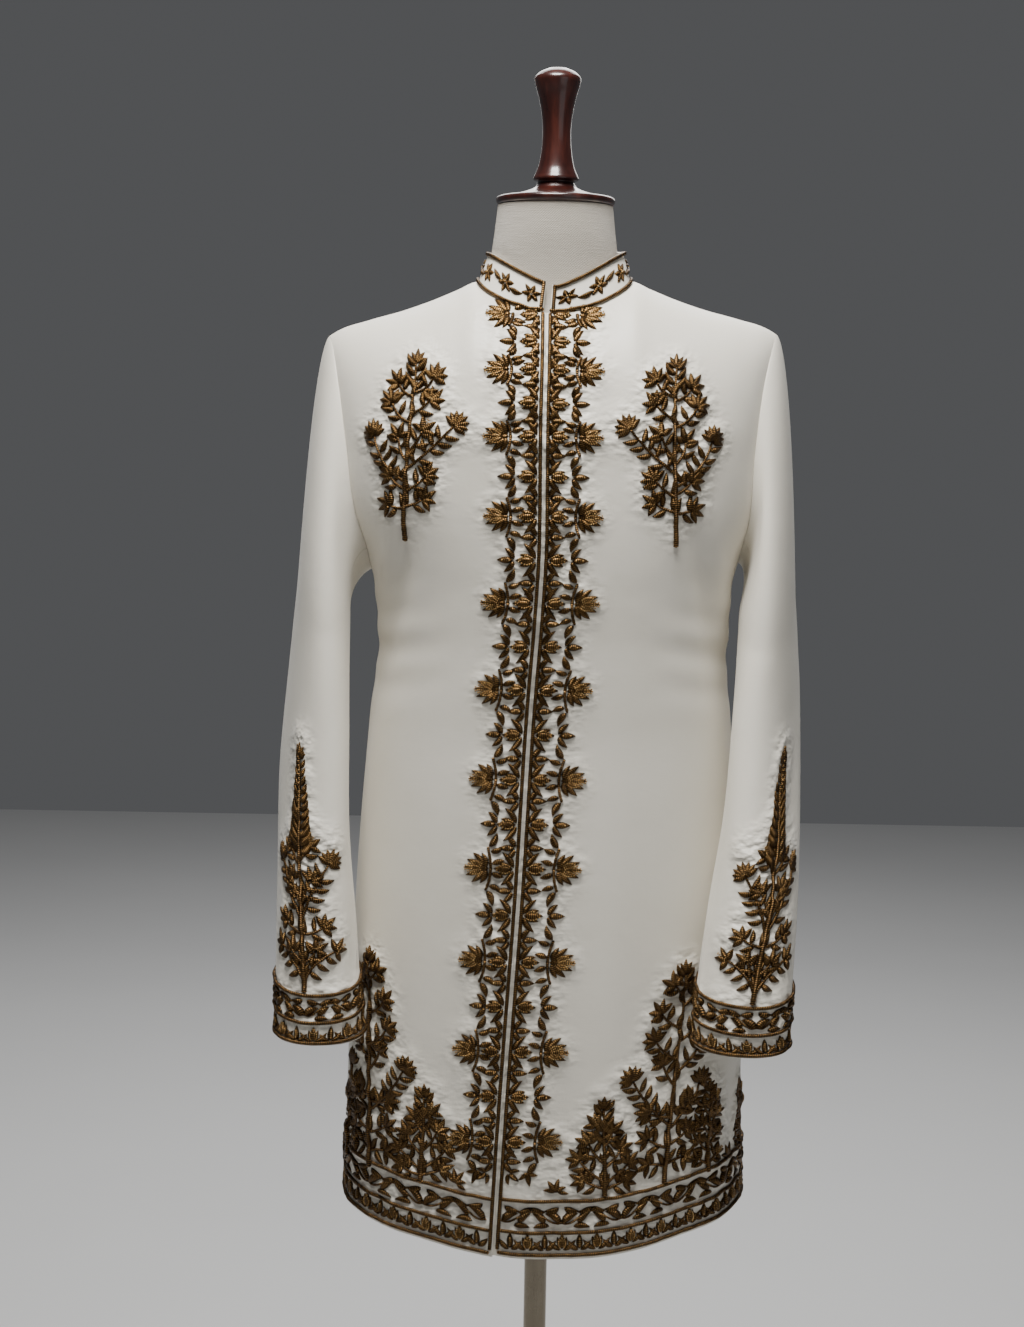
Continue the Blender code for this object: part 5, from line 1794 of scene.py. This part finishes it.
def turned_piece(name, profile, base, look, smooth_below=0.9):
    """A turned piece: its profile's corners eased by a curve through them, spun round the pole's axis."""
    corners = np.array(profile[1:-1] if profile[-1][0] == 0 else profile[1:])
    steps = np.linspace(0, len(corners) - 1, 8 * (len(corners) - 1) + 1)
    k = np.clip(steps.astype(int), 0, len(corners) - 2)
    f = (steps - k)[:, None]
    before, after = corners[np.maximum(k - 1, 0)], corners[np.minimum(k + 2, len(corners) - 1)]
    a, b = corners[k], corners[k + 1]
    gap = np.linalg.norm(b - a, axis=1, keepdims=True)
    lead = (b - before) * gap / np.maximum(
        np.linalg.norm(b - a, axis=1) + np.linalg.norm(a - before, axis=1), 1e-9
    )[:, None]
    trail = (after - a) * gap / np.maximum(
        np.linalg.norm(b - a, axis=1) + np.linalg.norm(after - b, axis=1), 1e-9
    )[:, None]
    line = (1 + 2 * f) * (1 - f) ** 2 * a + f * (1 - f) ** 2 * lead
    line = line + f * f * (3 - 2 * f) * b - f * f * (1 - f) * trail
    angles = np.linspace(0, 2 * pi, TURNED_STEPS + 1)[:-1]
    rings = np.stack(
        [
            line[:, :1] * np.cos(angles),
            line[:, :1] * np.sin(angles),
            np.broadcast_to(line[:, 1:] + base, (len(line), TURNED_STEPS)),
        ],
        axis=-1,
    )
    rows = len(rings)
    points = np.concatenate(
        [rings.reshape(-1, 3), [[0, 0, profile[0][1] + base], [0, 0, profile[-1][1] + base]]]
    )
    k = np.arange(TURNED_STEPS)
    after, low = (k + 1) % TURNED_STEPS, (rows - 1) * TURNED_STEPS
    top = np.stack([k, after, np.full(TURNED_STEPS, rows * TURNED_STEPS)], -1)
    bottom = np.stack([low + after, low + k, np.full(TURNED_STEPS, rows * TURNED_STEPS + 1)], -1)
    mesh = outward(
        points, grid_quads(rows, TURNED_STEPS, closed=True), np.concatenate([top, bottom]), points[:, :2]
    )
    return mesh_piece(name, *mesh, look, sharp=smooth_below)


def outward(points, quads, triangles, uv):
    """The same closed mesh with its faces turned outwards, by the sign of its volume."""
    corners = np.concatenate([quads[:, :3], quads[:, [0, 2, 3]], np.asarray(triangles, int).reshape(-1, 3)])
    a, b, c = (points[corners[:, i]] for i in range(3))
    if (np.cross(a, b) * c).sum() < 0:
        return points, quads[:, ::-1], np.asarray(triangles, int)[:, ::-1], uv
    return points, quads, triangles, uv


def trunk_uv(grid):
    """The panel laid flat, in metres: the way round and the way down."""
    t, q = grid[..., 0], grid[..., 1]
    return np.stack([t * HEM_HALF, -q * FRONT_ROUND], axis=-1)


def build_fronts(look):
    """The two fronts: dress() on their grids and a wall inward, mitred at armhole and neck, with half a
    seam taken off where they meet the back."""
    lines = {}
    for side, name in ((-1, "front_right"), (1, "front_left")):
        grid = front_grid(side)
        outer, normal = dress(grid[..., 0], grid[..., 1], -1, side)
        inward = -normal * WALL
        pit = len(grid) - YOKE_ROWS - 1
        inward[pit:, -1] = armhole_edge(side)[0][YOKE_ROWS::-1]
        turns = side * np.linspace(neckline_start(side), pi / 2, NECK_STEPS + 1)
        strip = grid.shape[1] - HALF_STEPS - 1
        inward[-1, strip : strip + NECK_STEPS + 1] = neck_edge(turns)[1]
        inward[-1, :strip] = inward[-1, strip]
        outer[: pit + 1, -1, 1] -= SEAM / 2
        outer[-1, strip + NECK_STEPS :, 1] -= SEAM / 2
        lines[side] = outer[:, strip], normal[:, strip]
        drawn = PUCKERS["front"].drawn(grid[..., 0], outer[..., 2])
        COATS[name] = cloth_piece("cloth_" + name, outer, outer + inward, trunk_uv(grid), look, drawn)
        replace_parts(COATS[name], name)
    return lines


def build_back(look):
    """The back: dress() on its grid and a wall inward, mitred at armholes and neck, with half a seam
    taken off at its sides and shoulders."""
    grid = back_grid()
    outer, normal = dress(grid[..., 0], grid[..., 1], 1, 0)
    inward = -normal * WALL
    pit = len(grid) - YOKE_ROWS - 1
    for side, column in ((-1, 0), (1, -1)):
        edge = armhole_edge(side)[0]
        inward[pit:, column] = np.concatenate([edge[YOKE_ROWS:], edge[:1]])
    count = 2 * BACK_NECK_STEPS + 1
    neck = slice(BACK_SHOULDER_STEPS, BACK_SHOULDER_STEPS + count)
    behind = np.linspace(pi / 2, pi, BACK_NECK_STEPS + 1)
    inward[-1, neck] = neck_edge(np.concatenate([-behind, behind[-2::-1]]))[1]
    outer[: pit + 1, (0, -1), 1] += SEAM / 2
    outer[-1, : BACK_SHOULDER_STEPS + 1, 1] += SEAM / 2
    outer[-1, -BACK_SHOULDER_STEPS - 1 :, 1] += SEAM / 2
    drawn = PUCKERS["back"].drawn(grid[..., 0], outer[..., 2])
    COATS["back"] = cloth_piece("cloth_back", outer, outer + inward, trunk_uv(grid), look, drawn)
    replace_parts(COATS["back"], "back")


def build_sleeve(side, name, look):
    """One sleeve's two pieces: the whole sleeve's grid with a wall inward, cut along the front and back
    seams."""
    outer = sleeve_grid(side)
    normal = tube_normals(outer, side)
    inward = -normal * WALL
    inward[0], aside = armhole_edge(side)
    outer[0] += aside * SEAM
    inner = outer + inward
    around = unit(np.roll(outer, -1, axis=1) - np.roll(outer, 1, axis=1)) * SEAM * 0.75
    length = np.cumsum(np.linalg.norm(np.diff(outer, axis=0, prepend=outer[:1]), axis=-1).mean(axis=1))
    uv = np.stack(
        np.broadcast_arrays(np.linspace(0, 0.32, SLEEVE_COLUMNS)[None], -length[:, None]), axis=-1
    )
    front = round(SLEEVE_COLUMNS * FRONT_SEAM / 360)
    back = round(SLEEVE_COLUMNS * BACK_SEAM / 360)
    pieces = (
        ("upper", np.arange(back - SLEEVE_COLUMNS, front + 1)),
        ("under", np.arange(front, back + 1)),
    )
    for part, columns in pieces:
        shift = np.zeros((len(outer), len(columns), 3))
        shift[:, 0] = around[:, columns[0]]
        shift[:, -1] = -around[:, columns[-1]]
        flat = uv[:, columns] - np.stack([np.where(columns < 0, 0.32, 0.0), 0.0 * columns], axis=-1)
        node = f"sleeve_{name}_{part}"
        top = outer[:, columns] + shift
        drawn = PUCKERS[side].drawn(*np.broadcast_arrays((columns / SLEEVE_COLUMNS) % 1.0, top[..., 2]))
        COATS[node] = cloth_piece("cloth_" + node, top, inner[:, columns] + shift, flat, look, drawn)
        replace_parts(COATS[node], node)
    return outer, normal


def couched(name, nodes, lines, look, closed=False):
    """Two-ply cords laid on the cloth along lines of (points, normals), as one piece that stands for
    these nodes."""
    parts = []
    for points, normals in lines:
        both = resample(np.concatenate([points, normals], axis=1), 0.0013)
        path, up = both[:, :3], unit(both[:, 3:])
        if closed:
            path, up = path[:-1], up[:-1]
        parts.append(tube(path + up * CORD_RADIUS, up, CORD_RADIUS * 1.25, closed=closed, twist=0.0056))
    piece = mesh_piece(name, *join(parts), look)
    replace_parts(piece, *nodes)
    return piece


def build_cords(lines, collar, collar_normal, look):
    """The couched cords, each along its own line of the cloth that it lies on."""
    for side, name in ((-1, "right"), (1, "left")):
        points, normals = lines[side]
        couched("couched_front_" + name, [f"cord_front_{name}"], [(points[2:-1], normals[2:-1])], look)
    for row, lift in enumerate(HEM_CORDS, 1):
        parts = []
        for side, face in ((-1, -1), (0, 1), (1, -1)):
            start = float(
                front_edge_step(HEM_FRONT + lift) + side * cloth_step(
                    CORD_INSET[side or 1] + 0.001, HEM_FRONT + lift
                )
            )
            ends = {-1: (start, -1), 0: (-1, 1), 1: (1, start)}[side]
            t = np.linspace(*ends, 500)[(1 if side >= 0 else 0) :]
            parts.append(dress(t, fall(t, hem_height(t, side) + lift, face), face, side))
        line = tuple(np.concatenate([part[i] for part in parts]) for i in (0, 1))
        couched(f"couched_hem_{row}", [f"cord_hem_{row}"], [line], look)
    for side, name in ((-1, "right"), (1, "left")):
        for row, lift in enumerate(CUFF_CORDS, 1):
            angles = np.linspace(0, 2 * pi, 361)
            line = sleeve_cloth(side, SLEEVES[side][-1].height + lift, angles)
            couched(f"couched_cuff_{name}_{row}", [f"cord_cuff_{name}_{row}"], [line], look, closed=True)
    rows = len(collar)
    low, high = round(0.07 * rows), rows - 2
    upright = slice(low, high + 1)
    foot = collar[low], collar_normal[low]
    loop = [
        np.concatenate(
            [part[low], part[upright, -2], part[high, ::-1], part[high:low:-1, 1]]
        ) for part in (collar, collar_normal)
    ]
    couched("couched_collar_base", ["cord_collar_base"], [foot], look)
    couched(
        "couched_collar_top",
        ["cord_collar_top"],
        [(loop[0][len(collar[0]) :], loop[1][len(collar[0]) :])],
        look,
    )


def build_embroidery(leaf_look, bead_look, stem_look):
    """The leaves, beads and stems of each panel, every flat pattern laid on the cloth by its ground."""
    for name, ((surface, _), *patterns) in STITCHING.items():
        leaves, beads, stems = [], [], []
        for pattern, ground in patterns:

            def lay(flat, ground=ground, surface=surface):
                return surface(*ground(flat))

            leaves.append(outward(*leaves_mesh(pattern.leaves, lay)))
            if len(pattern.beads):
                beads.append(outward(*beads_mesh(pattern.beads, lay)))
            if pattern.stems:
                stems.append(stems_mesh(pattern.stems, lay))
        mesh_piece("leaves_" + name, *join(leaves), leaf_look)
        mesh_piece("beads_" + name, *join(beads), bead_look)
        mesh_piece("stems_" + name, *join(stems), stem_look)


def build_collar(look, leaf_look, bead_look):
    """The collar: its grid with a wall inward, mitred at its foot, and one half's motifs laid on both
    halves."""
    outer, normal, mitre = collar_grid(COLLAR_ROWS)
    inward = -normal * WALL
    inward[0] = mitre
    length = np.concatenate(
        [[0], np.cumsum(np.linalg.norm(np.diff(outer[COLLAR_ROWS // 2], axis=0), axis=1))]
    )
    uv = np.stack(np.broadcast_arrays(length[None], np.linspace(0, 0.04, COLLAR_ROWS)[:, None]), axis=-1)
    COATS["collar"] = cloth_piece("cloth_collar", outer, outer + inward, uv, look)
    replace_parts(COATS["collar"], "collar")
    half = collar_motifs(length[-1] / 2)
    leaves, beads = [], []
    for flip in (1, -1):

        def lay(flat, flip=flip):
            share = flat[:, 0] / length[-1]
            u, v = 0.5 + flat[:, 1] / 0.040, share if flip > 0 else 1 - share
            return sample(outer, u, v), unit(sample(normal, u, v))

        leaves.append(outward(*leaves_mesh(half.leaves, lay)))
        beads.append(outward(*beads_mesh(half.beads, lay)))
    mesh_piece("leaves_collar", *join(leaves), leaf_look)
    mesh_piece("beads_collar", *join(beads), bead_look)
    return outer, normal


def build_form(look):
    """The linen-covered form: rings of its reach at close heights, with flat ends."""
    turns = np.linspace(0, 2 * pi, FORM_COLUMNS + 1)[:-1]
    angles = turns - pi
    heights = np.concatenate(
        [[FORM_BOTTOM, FORM_BOTTOM + 0.004], np.linspace(FORM_BOTTOM + 0.012, FORM_TOP, FORM_ROWS)]
    )
    rings = []
    for z in heights:
        deep = np.where(np.cos(angles) > 0, smooth(NECK, "front", z), smooth(NECK, "back", z))
        neck = 1 / np.hypot(np.sin(angles) / smooth(NECK, "half", z), np.cos(angles) / deep)
        torso = np.array([form_reach(a, z) for a in angles])
        reach = np.maximum(neck, torso) if z > FORM_NECK_START else torso
        reach = reach * (1 - 0.06 * np.clip(1 - (z - FORM_BOTTOM) / FORM_EDGE, 0, 1) ** 2)
        rings.append(
            np.stack([reach * np.sin(angles), -reach * np.cos(angles), np.full_like(angles, z)], -1)
        )
    rings = np.array(rings)
    rows = len(rings)
    points = np.concatenate([rings.reshape(-1, 3), [[0, 0, FORM_BOTTOM], [0, 0, FORM_TOP]]])
    uv = np.stack(np.broadcast_arrays(turns[None] * 0.08, heights[:, None]), axis=-1).reshape(-1, 2)
    uv = np.concatenate([uv, [[0, FORM_BOTTOM], [0, FORM_TOP]]])
    k = np.arange(FORM_COLUMNS)
    after, top = (k + 1) % FORM_COLUMNS, (rows - 1) * FORM_COLUMNS
    ends = [
        np.stack([after, k, np.full(FORM_COLUMNS, rows * FORM_COLUMNS)], -1),
        np.stack([top + k, top + after, np.full(FORM_COLUMNS, rows * FORM_COLUMNS + 1)], -1),
    ]
    mesh = outward(points, grid_quads(rows, FORM_COLUMNS, closed=True), np.concatenate(ends), uv)
    piece = mesh_piece("linen_form", *mesh, look, sharp=0.9)
    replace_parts(piece, "form_torso")


def camera():
    """The camera at its place, tilted and rolled."""
    data = bpy.data.cameras.new("camera")
    data.lens = LENS
    data.sensor_width = 36
    made = bpy.data.objects.new("camera", data)
    bpy.context.scene.collection.objects.link(made)
    made.matrix_world = Matrix.Translation(CAMERA_PLACE) @ Matrix.Rotation(
        CAMERA_TURN[0], 4, "X"
    ) @ Matrix.Rotation(CAMERA_ROLL, 4, "Z")
    bpy.context.scene.camera = made


def soft_light(name, place, aim, size, power, colour):
    """A square area light at a place, turned to a point."""
    data = bpy.data.lights.new(name, "AREA")
    data.size, data.energy, data.color = size, power, colour
    made = bpy.data.objects.new(name, data)
    bpy.context.scene.collection.objects.link(made)
    made.location = place
    made.rotation_euler = (Vector(aim) - Vector(place)).to_track_quat("-Z", "Y").to_euler()


def studio():
    """A pale world, four soft lights and a plain floor."""
    world = bpy.data.worlds.new("studio")
    world.use_nodes = True
    ground = world.node_tree.nodes["Background"]
    ground.inputs["Color"].default_value = (0.52, 0.53, 0.55, 1)
    ground.inputs["Strength"].default_value = 0.17
    bpy.context.scene.world = world
    soft_light("key", (-0.12, -0.62, 2.90), (0, -0.05, 1.25), size=0.8, power=76, colour=(1.0, 0.99, 0.97))
    soft_light("fill", (1.6, -2.6, 1.3), (0, 0, 1.0), size=2.0, power=7, colour=(0.98, 0.99, 1.0))
    soft_light("rim", (0.3, 2.2, 2.6), (0, 0, 1.2), size=1.6, power=18, colour=(1.0, 0.98, 0.95))
    soft_light("floor_wash", (0, 2.5, 3.2), (0, 1.5, 0), size=2.5, power=60, colour=(1.0, 1.0, 1.0))
    edge = 6.0
    points = np.array([(-edge, -edge, 0), (edge, -edge, 0), (edge, edge, 0), (-edge, edge, 0)])
    data = bpy.data.meshes.new("floor")
    data.from_pydata(points, [], [(0, 1, 2, 3)])
    data.materials.append(floor_finish())
    floor = bpy.data.objects.new("floor", data)
    bpy.context.scene.collection.objects.link(floor)


COLLAR_ROWS = 16
FORM_COLUMNS = 96
FORM_ROWS = 110
COATS = {}

camera()
studio()

ivory = ivory_cloth()
# Each metal's three colours: a dark painted shade, the metal's own middle tone, and a bright painted
# highlight that the turns and the painted glints reach.
leaf_thread = metal_thread(
    "leaf_thread", (0.002, 0.001, 0.0005), (0.012, 0.0055, 0.002), (0.30, 0.165, 0.055), 0.0018
)
cord_thread = metal_thread(
    "cord_thread", (0.002, 0.001, 0.0005), (0.020, 0.009, 0.0035), (0.34, 0.190, 0.068), 0.0020
)
bead_metal = metal_thread(
    "bead_metal", (0.050, 0.026, 0.010), (0.330, 0.195, 0.072), (0.95, 0.680, 0.310), 0.0100
)

edge_line_points = build_fronts(ivory)
build_back(ivory)
build_sleeve(-1, "right", ivory)
build_sleeve(1, "left", ivory)
collar_points, collar_normals = build_collar(ivory, leaf_thread, bead_metal)
build_cords(edge_line_points, collar_points, collar_normals, cord_thread)
build_embroidery(leaf_thread, bead_metal, cord_thread)
build_form(linen_cover())

wood = polished_mahogany()
block_base = FORM_TOP + SEAM
for name, profile, base in (
    ("neck_block", BLOCK_PROFILE, block_base),
    ("finial", FINIAL_PROFILE, block_base + BLOCK_PROFILE[0][1] + SEAM),
):
    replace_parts(turned_piece("turned_" + name, profile, base, wood), name)
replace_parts(turned_piece("turned_base", BASE_PROFILE, 0.0, cast_base()), "stand_base")
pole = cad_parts["stand_pole"]
pole.material_slots[0].material = nickel_tube()
